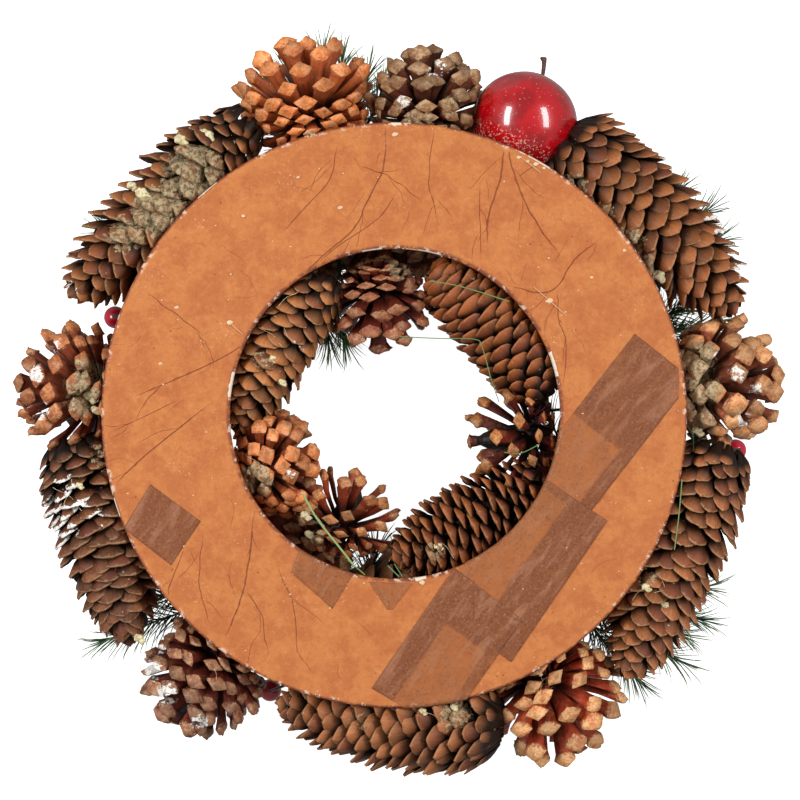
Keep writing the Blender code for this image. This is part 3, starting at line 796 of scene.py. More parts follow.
def craft_paper():
    """Orange-brown paper: finely mottled, with shade painted along the creases, and worn at the rims."""
    paper = Finish("craft_paper", 0.6, Specular_IOR_Level=0.3)
    step = paper.step
    clouds = paper.noise(15 * MM, 3.0, 0.6)
    mottle = paper.noise(3.4 * MM, 5.0, 0.66, 0.4)
    fibres = paper.noise(0.9 * MM, 3.0, 0.7, 1.2)
    worn = paper.noise(6 * MM, 5.0, 0.7)
    # Painted shade along the creases, broken up by the mottle.
    ragged = step(paper.attribute("fold") + 0.9 * (mottle - 0.5), 0.3, 0.75)
    specks = 1 - step(paper.cells(11 * MM), 0.03, 0.06)
    radius, inner, outer = radius_from_centre(paper), INNER_R / MM, OUTER_R / MM
    rim_line = step(radius, outer - 1.7, outer - 0.5) + (1 - step(radius, inner + 1.0, inner + 2.6))
    rim_band = step(radius, outer - 3.0, outer - 1.0) + (1 - step(radius, inner + 0.6, inner + 2.6))
    bare = step(paper.attribute("bare") + 2.6 * (worn - 0.5), 0.62, 0.76)
    patches, crumbs = paper.noise(22 * MM, 3.0), paper.noise(1.3 * MM, 3.0, 0.6)
    flecks = step(patches, 0.58, 0.64) * step(crumbs, 0.61, 0.68)
    glue = paper.attribute("glue")
    colour = paper.layers(
        paper.mix(paint(194, 118, 62), paint(182, 104, 54), step(clouds, 0.4, 0.6)),
        (paint(160, 86, 44), step(mottle, 0.5, 0.64) * 0.32),
        (paint(210, 144, 88), (1 - step(mottle, 0.36, 0.46)) * 0.22),
        (paint(146, 78, 42), step(fibres, 0.56, 0.66) * 0.32),
        (paint(210, 146, 94), (1 - step(fibres, 0.34, 0.42)) * 0.3),
        (paint(112, 50, 28), ragged * 0.72),
        (paint(104, 44, 26), specks * 0.7),
        (paint(112, 54, 40), rim_line * step(worn, 0.36, 0.5) * 0.85),
        (paint(226, 196, 170), rim_band * step(worn, 0.56, 0.6) * 0.8),
        (paint(232, 216, 196), bare * 0.9),
        (paint(226, 176, 128), flecks * 0.6),
        (paint(230, 202, 164), glue * (0.55 + 0.6 * worn)))
    paper.feed("Base Color", colour)
    paper.feed("Roughness", 0.62 - 0.25 * flecks - 0.3 * glue)
    paper.relief(0.5 * mottle + 0.3 * fibres + 0.25 * flecks, 0.45 * MM, 0.6)
    return paper


paper = joined("paper_cover_skin", [build_sheet(), build_ridges(), build_flecks()])
add_piece("paper_cover_skin", paper, craft_paper(), "craft_paper", "paper_cover")
print("paper cover:", RING_STEPS, "steps round the ring")

# %% [markdown]
# ## Parcel tape
# Brown parcel tape holds the paper's joins. It is thin, clings to the paper's swell and
# folds over the rims, and the paper shows through it, so its finish has some Alpha. Each
# strip is a fine grid of points laid on the paper. Where two layers meet the tape looks
# darker, which each strip carries as an attribute.

# %% Lay the tape on the paper
# Corners are in mm from the ring's centre. Shades are spans of darker tape, each given by
# two corners along and across the strip and how dark it is.
Tape = namedtuple("Tape", "number first last layer limit_x shades")
TAPES = [Tape(*row) for row in [
    (1, ((123.1, 41), (152.8, 17.4)), ((60, -40), (89.7, -63.5)), 1, 145.5,
     [((0, 0), (0.5, 1), 0.85), ((0, 0.8), (1, 1), 0.85)]),
    (2, ((71, -29.5), (108.5, -55.1)), ((20, -98), (58.9, -127)), 2, 200,
     [((0, 0.52), (1, 1), 0.95), ((0, 0), (0.05, 1), 0.8)]),
    (3, ((30, -79), (64.8, -105.5)), ((-12, -140), (24.6, -162)), 3, 200,
     [((0, 0), (1, 0.3), 0.9), ((0, 0), (0.35, 1), 0.9), ((0, 0.85), (1, 1), 0.7)]),
    (4, ((-124.7, -36.6), (-99.2, -55.3)), ((-138.2, -58.9), (-114.1, -77.6)), 1, 200,
     [((0, 0), (1, 1), 0.9)]),
    (5, ((-49, -70), (-21.5, -82)), ((-53.2, -81.3), (-32.2, -99.8)), 1, 200,
     [((0, 0), (1, 1), 0.45)]),
    (6, ((-13.6, -86), (8.7, -87)), ((-4.3, -100.2), (-1.3, -100.2)), 1, 200,
     [((0, 0), (1, 1), 0.35)]),
]]
TAPE_THICK = 0.12 * MM
TAPE_CELL = 1.3 * MM
TAPE_LIFT, LAYER_LIFT, PUCKER = 0.16, 0.12, 0.07 * MM
PATTERN_SHIFT_MM = 40.0


def wrapped(x, y, lift):
    """Points of a flat sheet laid on the back, folded down over either rim."""
    away_x, away_y = x - RING_CENTRE.x, y - RING_CENTRE.y
    radius = np.hypot(away_x, away_y)
    edge = HALF_WIDTH - RIM_ROUND
    past = np.maximum(np.abs(radius - MID_R) - edge, 0.0)
    turn = np.minimum(past / RIM_ROUND, math.pi / 2)
    beyond = np.maximum(past - RIM_ROUND * math.pi / 2, 0.0)
    drop = RIM_ROUND * (1 - np.cos(turn)) + beyond
    width = HALF_WIDTH * np.sqrt(np.maximum(1.0 - (drop / RING_DEPTH) ** 2, 0.0))
    reach = np.where(past > 0, np.minimum(edge + RIM_ROUND * np.sin(turn), width), np.abs(radius - MID_R))
    out = reach + lift * np.sin(turn)
    new_radius = MID_R + np.sign(radius - MID_R) * out
    rise, _ = paper_relief(x, y)
    z = BACK_Z - drop + lift * np.cos(turn) + np.where(past > 0, 0.0, rise)
    share = new_radius / radius
    return np.stack([RING_CENTRE.x + away_x * share, RING_CENTRE.y + away_y * share, z], -1)


def build_tape(tape):
    """A closed strip: its upper and lower sides are the same grid, one tape's thickness apart."""
    (a, b), (d, c) = [[at(*corner, 0.0) for corner in edge] for edge in (tape.first, tape.last)]
    rows = max(6, round((d - a).length / TAPE_CELL))
    columns = max(6, round((b - a).length / TAPE_CELL))
    u, v = np.meshgrid(np.linspace(0, 1, rows), np.linspace(0, 1, columns), indexing="ij")
    x = (1 - u) * ((1 - v) * a.x + v * b.x) + u * ((1 - v) * d.x + v * c.x)
    y = (1 - u) * ((1 - v) * a.y + v * b.y) + u * ((1 - v) * d.y + v * c.y)
    x = np.minimum(x, RING_CENTRE.x + tape.limit_x * MM)
    pucker = PUCKER * (1 + ripple(x, y, 11 * MM, 10 + tape.number))
    lift = (TAPE_LIFT + LAYER_LIFT * tape.layer) * MM + pucker
    upper, lower = wrapped(x, y, lift), wrapped(x, y, lift - TAPE_THICK)
    points = np.vstack([upper.reshape(-1, 3), lower.reshape(-1, 3)])
    mesh = face_outwards(mesh_from("tape", points, sheet_faces(rows, columns)))
    dark = np.full(u.shape, 0.22)
    for (u0, v0), (u1, v1), value in tape.shades:
        inside = (u >= u0) & (u <= u1) & (v >= v0) & (v <= v1)
        dark = np.where(inside, np.maximum(dark, value), dark)
    along = u * rows * TAPE_CELL / MM + PATTERN_SHIFT_MM * tape.number
    across = v * columns * TAPE_CELL / MM
    for name, values in (("dark", dark), ("along_mm", along), ("across_mm", across)):
        set_attribute(mesh, name, np.concatenate([values.ravel()] * 2))
    return mesh


def parcel_tape():
    """Brown film that the paper shows through, speckled, with pale highlights painted as streaks along its
    wrinkles.
    """
    tape = Finish("parcel_tape", 0.38, Specular_IOR_Level=0.3)
    dark = tape.attribute("dark")
    lengthways = tape.vector(tape.attribute("across_mm") * 0.2, tape.attribute("along_mm") * 0.045, 0.0)
    streaks = tape.noise(1.0, 5.0, 0.6, 0.5, lengthways)
    grain = tape.noise(1.3 * MM, 4.0, 0.7)
    cloud = tape.noise(7 * MM, 4.0, 0.6)
    # Pale streaks along the wrinkles: painted highlights.
    pale = tape.step(streaks, 0.46, 0.68)
    specks = tape.step(tape.noise(1.6 * MM, 4.0, 0.8), 0.65, 0.69)
    colour = tape.layers(
        tape.mix(paint(186, 116, 70), paint(142, 84, 54), tape.step(dark + 1.2 * (cloud - 0.5), 0.15, 1.0)),
        (paint(92, 48, 28), tape.step(grain, 0.54, 0.64) * 0.5),
        (paint(196, 140, 104), (1 - tape.step(grain, 0.36, 0.44)) * 0.45),
        (paint(200, 144, 110), pale * 0.35),
        (paint(226, 190, 160), specks * 0.5))
    tape.feed("Base Color", colour)
    tape.feed("Alpha", 0.14 + 0.44 * dark + 0.2 * tape.step(cloud, 0.4, 0.6) + 0.1 * pale)
    tape.feed("Roughness", 0.34 + 0.25 * streaks)
    tape.relief(0.7 * streaks + 0.3 * cloud, 0.4 * MM, 0.5)
    return tape


tape_finish = parcel_tape()
for tape in TAPES:
    name = f"tape_strip_{tape.number}"
    add_piece(name, build_tape(tape), tape_finish, "parcel_tape", f"tape_patch_{tape.number}")
print("tape:", len(TAPES), "strips")

# %% [markdown]
# ## The foam ring
# The core is moulded bead foam. Its front is bare between the paper's edges, and a
# little white shows where the paper has lifted from the inner rim. A finely turned ring
# replaces the plain solid, the beads are bump in the finish, and shade is painted between them.

# %% Build the foam ring
FOAM_INSET = 1.0 * MM


def build_foam():
    angles = np.linspace(0.0, 2 * math.pi, 240, endpoint=False)
    turns = np.radians(np.linspace(0.0, 180.0, 33))
    radius = MID_R + (HALF_WIDTH - FOAM_INSET) * np.cos(turns)
    height = BACK_Z - FOAM_INSET - (RING_DEPTH - FOAM_INSET) * np.sin(turns)
    section = np.stack([radius, height], 1)
    points = turned(section, angles)
    faces = grid_faces(len(angles), len(section), wrap_rows=True, wrap_columns=True)
    return face_outwards(mesh_from("foam_core", points.reshape(-1, 3), faces))


def bead_foam():
    foam = Finish("bead_foam", 0.7)
    beads = foam.cells(3.4 * MM)
    soil = foam.noise(18 * MM, 4.0)
    colour = foam.mix(paint(244, 241, 232), paint(214, 206, 190), foam.step(soil, 0.45, 0.75))
    # Darker between the beads: painted shade in the gaps.
    foam.feed("Base Color", foam.shade(colour, 1.0 - 0.18 * foam.step(beads, 0.35, 0.75)))
    foam.relief(1 - beads, 0.6 * MM, 0.7)
    return foam


add_piece("foam_core", build_foam(), bead_foam(), "foam", "foam_ring")
print("foam ring built")

# %% [markdown]
# ## Cones grow by one rule
# Every cone, spruce or pine, is a spiral: each scale sits a golden angle (137.5 degrees)
# round from the one before and a little further up a slim core. Geometry Nodes follow
# that rule well: points are placed by their index, one woody scale is instanced on each,
# and the inputs say how far the scales open at the base, the middle and the tip.

# %% The spiral of scales
# How large the soft wobble of a whole cone and the small chips of its scales are.
WOBBLE_SIZE = 8 * MM
CHIP_SIZE = 2.2 * MM
# What one degree of untidiness adds: to a tip's radius, and in degrees to spin and twist.
TIP_SPREAD, SPIN_SPREAD, TWIST_SPREAD = 0.008, 0.8, 1.4
WIDTH_SPREAD = 0.1


def scale_spiral():
    """Scales round a core whose tips lie on the cone's outline."""
    spiral = Recipe("scale_spiral")
    node = spiral.node
    scale_shape = spiral.ask("Scale", "NodeSocketObject")
    count = spiral.ask("Count", "NodeSocketInt")
    length, radius, shortest = (spiral.ask(n) for n in ("Length", "Radius", "Shortest"))
    first, crowding, floor = (spiral.ask(n) for n in ("First", "Crowding", "Floor"))
    widest, foot, blunt = (spiral.ask(n) for n in ("Widest", "Foot", "Blunt"))
    parts = ("base", "middle", "tip")
    cores, lifts, widths = ([spiral.ask(f"{n} {part}") for part in parts] for n in ("Core", "Lift", "Width"))
    thickness, untidy, wobble, chips, bend, seed = (
        spiral.ask(n) for n in ("Thickness", "Untidy", "Wobble", "Chips", "Bend", "Seed"))
    index = node("GeometryNodeInputIndex")
    along = index / (count - 1)
    jitter = [spiral.random(-1.0, 1.0, seed + k) for k in range(5)]
    share = first + (1 - first) * along ** crowding
    above = ((share - widest) / (1 - widest)).math("MAXIMUM", 0.0)
    below = ((widest - share) / widest).math("MAXIMUM", 0.0)
    outline = (1 - above ** blunt).math("MAXIMUM", 0.0).math("SQRT") * (1 - (1 - foot) * below * below)
    tip_r = radius * outline * (1 + TIP_SPREAD * untidy * jitter[4])
    root_r = spiral.arc(*cores, along).math("MINIMUM", 0.7 * tip_r)
    run = tip_r - root_r
    slope = (spiral.arc(*lifts, along) * math.radians(1.0)).math("TANGENT")
    rise = run * slope + (shortest * shortest - run * run).math("MAXIMUM", 0.0).math("SQRT")
    tip_z = length * share
    root_z = (tip_z - rise).math("MAXIMUM", length * floor * (1 + along))
    climb = tip_z - root_z
    lift = climb.math("ARCTAN2", run) + jitter[0] * untidy * math.radians(1.0)
    angle = index * math.radians(GOLDEN_DEG) + jitter[3] * untidy * math.radians(SPIN_SPREAD)
    twist = jitter[1] * untidy * math.radians(TWIST_SPREAD)
    place = spiral.vector(root_r * angle.math("COSINE"), root_r * angle.math("SINE"), root_z)
    points = node("GeometryNodePoints", None, {"Count": count, "Position": place})
    turn = node("FunctionNodeEulerToRotation", None, (spiral.vector(twist, -lift, angle),))
    size = (run * run + climb * climb).math("SQRT")
    width = spiral.arc(*widths, along) * (1 + WIDTH_SPREAD * jitter[2])
    stretch = spiral.vector(size, width, width * thickness)
    points = spiral.label(points, "chance", spiral.random(0.0, 1.0, seed + 9))
    points = spiral.label(points, "up_cone", along)
    one = node("GeometryNodeObjectInfo", None, {"Object": scale_shape}, "Geometry")
    values = {"Points": points, "Instance": one, "Rotation": turn, "Scale": stretch}
    scales = node("GeometryNodeInstanceOnPoints", None, values)
    scales = node("GeometryNodeRealizeInstances", None, (scales,))
    ball = node("GeometryNodeMeshUVSphere", None, {"Segments": 16, "Rings": 10, "Radius": 1.0})
    fat = cores[1] * 1.1
    values = {"Geometry": ball, "Translation": spiral.vector(0.0, 0.0, length * 0.45),
              "Scale": spiral.vector(fat, fat, length * 0.43)}
    pith = node("GeometryNodeTransform", None, values)
    cone = node("GeometryNodeJoinGeometry", None, ([pith, scales],))
    position = node("GeometryNodeInputPosition")
    shift = spiral.vector(0.0, 0.0, 0.0)
    for size, amount in ((WOBBLE_SIZE, wobble), (CHIP_SIZE, chips)):
        values = {"Vector": position, "W": seed, "Scale": 1.0 / size, "Detail": 4.0, "Roughness": 0.6}
        grain = node("ShaderNodeTexNoise", {"noise_dimensions": "4D"}, values, "Color")
        centred = spiral.vector_math("SUBTRACT", grain, (0.5, 0.5, 0.5))
        shift = spiral.vector_math("ADD", shift, spiral.vector_math("SCALE", centred, amount))
    level = node("ShaderNodeSeparateXYZ", None, (position,), "Z")
    bow = spiral.vector(bend * (1 - (level / length * 2 - 1) ** 2.0), 0.0, 0.0)
    shift = spiral.vector_math("ADD", shift, bow)
    moved = node("GeometryNodeSetPosition", None, {"Geometry": cone, "Offset": shift})
    spiral.finish_with(moved)
    return spiral


scale_recipe = scale_spiral()
print("scale spiral:", len(scale_recipe.tree.nodes), "nodes,", len(scale_recipe.keys), "inputs")

# %% [markdown]
# ## Two kinds of scale
# A spruce scale is a thin spoon: narrow where it joins the core, widest past its middle,
# with a rounded back and a thin, bluntly pointed lip. A pine scale is a woody strap that
# swells into a rhombic shield with a keel and a small knob, the umbo, in its middle. Both
# are a unit long and a unit wide, lie along X with the cone's tip towards Z, and have a
# few dozen faces, because a cone holds a hundred of them.

# %% Build one spruce scale and one pine scale
# The spruce scale's outline: how far along, and half the width there.
SPRUCE_OUTLINE = [(0.0, 0.16), (0.3, 0.23), (0.52, 0.41), (0.7, 0.5), (0.85, 0.43), (0.95, 0.25),
                  (1.0, 0.08)]
SPRUCE_COLUMNS = 5
# The pine scale's loops: how far along, half the width, half the thickness, and how far in
# from the shield's edge to its umbo.
PINE_SECTIONS = [(0.0, 0.2, 0.18, 0.0), (0.35, 0.27, 0.2, 0.0), (0.6, 0.33, 0.23, 0.0),
                 (0.78, 0.4, 0.3, 0.0), (0.87, 0.5, 0.46, 0.0), (0.905, 0.45, 0.41, 0.1),
                 (0.947, 0.31, 0.29, 0.38), (0.975, 0.15, 0.14, 0.7), (0.982, 0.09, 0.09, 0.84),
                 (1.0, 0.05, 0.05, 1.0)]
FIRST_SHIELD_RING = 4
FIRST_UMBO_RING = 7
SHIELD_TILT = 0.14


def spruce_scale():
    """Two sheets of points, the inner and the outer side, joined round their border."""
    upper, lower, along, across_it, edge = [], [], [], [], []
    for x, half in SPRUCE_OUTLINE:
        for j in range(SPRUCE_COLUMNS):
            across = j / (SPRUCE_COLUMNS - 1) * 2 - 1
            spoon = 0.16 * (across * half / 0.5) ** 2 + 0.1 * x ** 4 - 0.08 * math.sin(math.pi * x)
            keel = 0.05 * (1 - abs(across)) ** 1.5 * soft_step(x, 0.3, 0.7)
            thick = 0.075 * (1 - 0.7 * x) * (1 - 0.6 * across * across) + 0.012
            place = (x - 0.03 * abs(across) * x, across * half)
            upper.append((*place, spoon + thick * 0.5))
            lower.append((*place, spoon - thick - keel))
            along.append(x)
            across_it.append(across * half * 2)
            edge.append(max(abs(across) * soft_step(x, 0.3, 0.8), soft_step(x, 0.86, 1.0)))
    faces = sheet_faces(len(SPRUCE_OUTLINE), SPRUCE_COLUMNS)
    mesh = face_outwards(mesh_from("spruce_scale", upper + lower, faces))
    for name, values in (("along", along), ("across", across_it), ("edge", edge)):
        set_attribute(mesh, name, values * 2)
    set_attribute(mesh, "inner_side", [1.0] * len(upper) + [0.0] * len(lower))
    return mesh


def pine_scale():
    """Loops of eight points along the strap and over the shield to the umbo."""
    strap = [(1.0, 0.0), (0.62, 0.58), (0.0, 1.0), (-0.62, 0.58), (-1.0, 0.0), (-0.62, -0.58),
             (0.0, -1.0), (0.62, -0.58)]
    rhomb = [(y * 0.9, z * 0.93) if y * z else (y, z) for y, z in strap]
    points, along, across, shield, face = [], [], [], [], []
    for number, (x, half, thick, inwards) in enumerate(PINE_SECTIONS):
        corners = rhomb if number >= FIRST_SHIELD_RING else strap
        sag = -0.1 * math.sin(math.pi * x) - 0.04 * (number >= FIRST_UMBO_RING)
        tilt = SHIELD_TILT * thick * (number >= FIRST_SHIELD_RING)
        for y, z in corners:
            points.append((x + tilt * z, y * half, z * thick + sag))
            along.append(x)
            across.append(y * half * 2)
            shield.append(float(number >= FIRST_SHIELD_RING))
            face.append(inwards)
    faces = capped_faces(len(PINE_SECTIONS), len(strap))
    mesh = face_outwards(mesh_from("pine_scale", points, faces))
    mesh.set_sharp_from_angle(angle=math.radians(64.0))
    for name, values in (("along", along), ("across", across), ("shield", shield), ("face", face)):
        set_attribute(mesh, name, values)
    return mesh


# These are only there to be copied, and are removed at the end.
spruce_pattern = put_in_scene("spruce_scale", spruce_scale())
pine_pattern = put_in_scene("pine_scale", pine_scale())
for made in (spruce_pattern, pine_pattern):
    print(made.name, len(made.data.polygons), "faces")

# %% [markdown]
# ## The finishes of the cones
# Scales are dry wood: brown and finely striped along their length, and paler at the lip.
# Towards the root they are painted nearly black, as shade between the scales, and the
# inner side of a spruce scale is painted darker as shade. The pale patches on pine shields
# are partly weathered wood and partly a painted highlight. Some cones carry a grey-beige
# crust of glue and frosty white paint. Where these lie is worked out for every vertex
# later, and the finish only breaks their edges up.

# %% Finishes for spruce and pine scales
RED_BROWN = paint(124, 58, 44)
# Pale patches on the pine shields: partly weathered wood, partly a painted highlight.
WEATHERED_SHIELD_SHEEN = paint(214, 186, 150)


def striped(finish):
    """Fine stripes along each scale, different on every scale."""
    along, across, chance = (finish.attribute(n) for n in ("along", "across", "chance"))
    scale_place = finish.vector(across * 5.0, along * 1.1, chance * 60.0)
    return finish.node("ShaderNodeTexNoise", None, {"Vector": scale_place, "Scale": 2.4, "Detail": 3.0})


def crusts(finish, colour, grain):
    """Adds the frost, the glue crust and the drops of glue that a cone's mesh says it has."""
    step = finish.step
    lumps = finish.noise(2.4 * MM, 4.0, 0.7)
    patches = finish.noise(6 * MM, 3.0, 0.6)
    crust = step(finish.attribute("glue") + (lumps - 0.5) * 2.0 + (patches - 0.5) * 1.6, 0.44, 0.58)
    crust_colour = finish.layers(
        finish.mix(paint(108, 92, 66), paint(190, 170, 132), step(lumps, 0.4, 0.58)),
        (paint(160, 96, 60), step(patches, 0.54, 0.62) * 0.5),
        (paint(70, 52, 36), step(grain, 0.56, 0.64) * 0.6))
    frost = step(finish.attribute("frost") + (lumps - 0.5) * 2.4, 0.5, 0.58)
    white = finish.mix(paint(206, 198, 186), paint(250, 247, 242), step(grain, 0.38, 0.52))
    drops = finish.mix(paint(222, 212, 172), paint(182, 164, 118), step(lumps, 0.44, 0.6))
    colour = finish.layers(
        colour,
        (crust_colour, crust * 0.88),
        (white, frost * 0.95),
        (drops, finish.attribute("hot_glue")))
    return colour, crust, frost


def spruce_finish(name, tone, lip):
    """Spruce scales: tone is the body colour and lip the colour of the papery edge."""
    wood = Finish(name, 0.5, Specular_IOR_Level=0.28)
    step, shade = wood.step, wood.shade
    along, edge, chance = (wood.attribute(n) for n in ("along", "edge", "chance"))
    stripes, grain = striped(wood), wood.noise(1.3 * MM, 4.0, 0.7)
    body = wood.mix(shade(tone, 0.93), shade(tone, 1.06), step(stripes, 0.36, 0.6))
    body = wood.mix(body, lip, step(grain, 0.52, 0.64) * 0.35)
    reddened = step((chance * 7.3).math("FRACT"), 0.62, 0.9)
    lip_share = step(edge + 0.7 * (grain - 0.5), 0.76, 1.0) * step(along, 0.6, 0.9)
    body = wood.layers(
        shade(body, 0.58 + 0.9 * chance),
        (shade(RED_BROWN, 0.8), reddened * 0.55),
        (lip, lip_share * 0.7),
        (shade(tone, 0.22), step(grain, 0.6, 0.7) * 0.6))
    # Towards its root each scale is painted nearly black: painted shade between the scales.
    colour = wood.mix(shade(tone, 0.035), body, step(along + 0.1 * (stripes - 0.5), 0.58, 0.98))
    # The inner side of each scale is painted darker, as shade.
    colour = wood.mix(colour, shade(colour, 0.45), wood.attribute("inner_side") * 0.8)
    colour, crust, frost = crusts(wood, colour, grain)
    wood.feed("Base Color", colour)
    wood.feed("Roughness", 0.38 + 0.3 * grain + 0.25 * frost + 0.15 * crust)
    wood.relief(0.06 * stripes + 0.4 * grain + 0.8 * crust * grain, 0.8 * MM, 0.7)
    return wood


def pine_finish(name, shield_tone, strap_tone):
    """Pine scales: a tan shield with a small dark knob on a smooth red-brown strap, painted nearly black
    towards its root as shade.
    """
    wood = Finish(name, 0.5, Specular_IOR_Level=0.4)
    step, shade = wood.step, wood.shade
    along, shield, face, chance = (wood.attribute(n) for n in ("along", "shield", "face", "chance"))
    stripes, grain = striped(wood), wood.noise(1.4 * MM, 4.0, 0.7)
    cloud = wood.noise(4.5 * MM, 3.0, 0.6)
    strap = wood.layers(
        wood.mix(shade(strap_tone, 0.78), shade(strap_tone, 1.15), step(stripes, 0.36, 0.64)),
        (shade(shield_tone, 0.85), step(cloud, 0.52, 0.64) * 0.35))
    # Towards its root each strap is painted nearly black: painted shade inside the cone.
    strap = wood.mix(shade(strap_tone, 0.05), strap, step(along + 0.3 * (cloud - 0.5), 0.2, 0.78))
    rough_face = face + 0.7 * (grain - 0.5) + 0.5 * (cloud - 0.5)
    lines = step((face * 3.0 + 0.5 * (grain - 0.5)).math("FRACT"), 0.78, 0.95)
    plate = wood.layers(
        wood.mix(shade(shield_tone, 0.76), shade(shield_tone, 1.16), step(grain, 0.36, 0.56)),
        # Pale patches: weathered wood and a painted highlight.
        (WEATHERED_SHIELD_SHEEN, step(cloud + 0.5 * (grain - 0.5), 0.5, 0.62) * 0.3),
        (shade(strap_tone, 1.1), (1 - step(cloud, 0.36, 0.48)) * 0.5),
        (shade(shield_tone, 0.45), lines * 0.35),
        (shade(shield_tone, 0.4), step(rough_face, 0.58, 0.72) * 0.45),
        (shade(shield_tone, 0.62), step(rough_face, 0.8, 0.92) * 0.7),
        (shade(strap_tone, 0.7), (1 - step(rough_face, -0.02, 0.1)) * 0.55))
    colour = wood.mix(strap, plate, step(shield + 0.6 * (grain - 0.5), 0.3, 0.7))
    colour = wood.mix(colour, shade(strap_tone, 0.25), step(grain, 0.59, 0.68) * 0.6)
    colour = shade(colour, 0.7 + 0.66 * chance)
    colour, crust, frost = crusts(wood, colour, grain)
    wood.feed("Base Color", colour)
    wood.feed("Roughness", 0.26 + 0.32 * grain + 0.25 * frost + 0.15 * crust)
    wood.relief(0.6 * grain + 0.2 * stripes + 0.8 * crust * cloud, 1.0 * MM, 0.75)
    return wood


print("each cone gets a finish of its own tones")

# %% [markdown]
# ## Where each cone lies
# A cone's solid says where it is: along the cone's direction, its lowest and highest
# points are the base and the tip, and across it the middle is the axis. Only the
# directions are given here, as headings seen from behind. Two spruce cones on the inner
# rim are turned end for end in their places.

# %% Read a cone's place from its solid
CLEAR = 0.5 * MM


def heading(angle_deg, dip_deg=0.0):
    """A direction seen from behind, which may dip towards the wreath's front."""
    angle, dip = math.radians(angle_deg), math.radians(dip_deg)
    return Vector((math.cos(angle) * math.cos(dip), math.sin(angle) * math.cos(dip), -math.sin(dip)))


def lie_of(node, way):
    """Base point, tip point and radius of the solid cone of a node, along a direction."""
    solid = points_of(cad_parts[node].data)
    helper = Vector((0, 1, 0)) if abs(way.z) > 0.9 else Vector((0, 0, 1))
    side = way.cross(helper).normalized()
    other = way.cross(side)
    spans = solid @ np.array([way, side, other]).T
    low, high = spans.min(0), spans.max(0)
    middle = (low + high) / 2
    centre = side * middle[1] + other * middle[2]
    return centre + way * low[0], centre + way * high[0], (high - low)[1:].mean() / 2


def keep_clear(points):
    """Moves points out of the wrapped ring, off the floor and below the ring's back."""
    x, y = points[:, 0] - RING_CENTRE.x, points[:, 1] - RING_CENTRE.y
    radius = np.hypot(x, y)
    out, deep = radius - MID_R, np.maximum(BACK_Z - points[:, 2], 0.2 * MM)
    inside = np.hypot(out / (HALF_WIDTH + CLEAR), deep / (RING_DEPTH + CLEAR))
    push = np.where(inside < 1.0, 1.0 / np.maximum(inside, 0.05), 1.0)
    share = (MID_R + out * push) / radius
    points[:, 0] = RING_CENTRE.x + x * share
    points[:, 1] = RING_CENTRE.y + y * share
    points[:, 2] = np.where(push > 1.0, BACK_Z - deep * push, points[:, 2])
    points[:, 2] = np.clip(points[:, 2], CLEAR, BACK_Z - CLEAR)
    return points


base, _, radius = lie_of("outer_spruce_cone_1", heading(-45.3))
print("outer_spruce_cone_1 starts at", [round(v / MM) for v in base], "mm, radius", round(radius / MM))

# %% [markdown]
# ## Frost and hot glue
# Frost was dabbed on the tips that face the wreath's front, and a few white patches reach
# its back. Hot glue left crusts, drops and pulled threads near the ring. They could be
# painted on by hand, but spots in a table are easier to read and to move: each vertex
# works out how close it is to a spot, and the drops and threads are small meshes.

# %% Where the frost and the glue lie
# Patches of white frost: x, y and reach in mm from the ring's centre, and how white.
SNOW = {
    "outer_spruce_cone_1": [(143, 138, 5, 0.7), (160, 115, 6, 0.9), (166, 103, 6, 0.9), (171, 98, 7, 0.9),
        (182, 77, 7, 0.9), (178, 88, 5, 0.7)],
    "outer_spruce_cone_2": [(172, -98, 14, 0.55), (150, -130, 8, 0.5)],
    "outer_spruce_cone_4": [(-168, -38, 9, 1.1), (-174, -50, 11, 1.3), (-160, -46, 8, 1.0),
        (-170, -62, 11, 1.2), (-152, -54, 7, 0.8)],
    "outer_spruce_cone_5": [(-168, 66, 8, 0.4), (-172, 78, 7, 0.4)],
    "outer_pine_cone_2": [(22, 178, 9, 0.5), (6, 162, 8, 0.5)],
    "outer_pine_cone_3": [(176, 20, 7, 0.9), (186, 12, 7, 0.95), (182, -2, 6, 0.8), (168, 30, 5, 0.8)],
    "outer_pine_cone_5": [(-124, -132, 7, 0.9), (-116, -144, 8, 0.95), (-100, -158, 6, 0.9),
        (-120, -122, 5, 0.8)],
    "outer_pine_cone_6": [(-186, 20, 8, 0.6), (-182, 2, 8, 0.6), (-176, 34, 6, 0.5)],
    "inner_spruce_cone_1": [(-44, 46, 6, 0.5), (-50, 36, 5, 0.5)],
    "inner_pine_cone_4": [(-52, -30, 6, 0.5)],
}
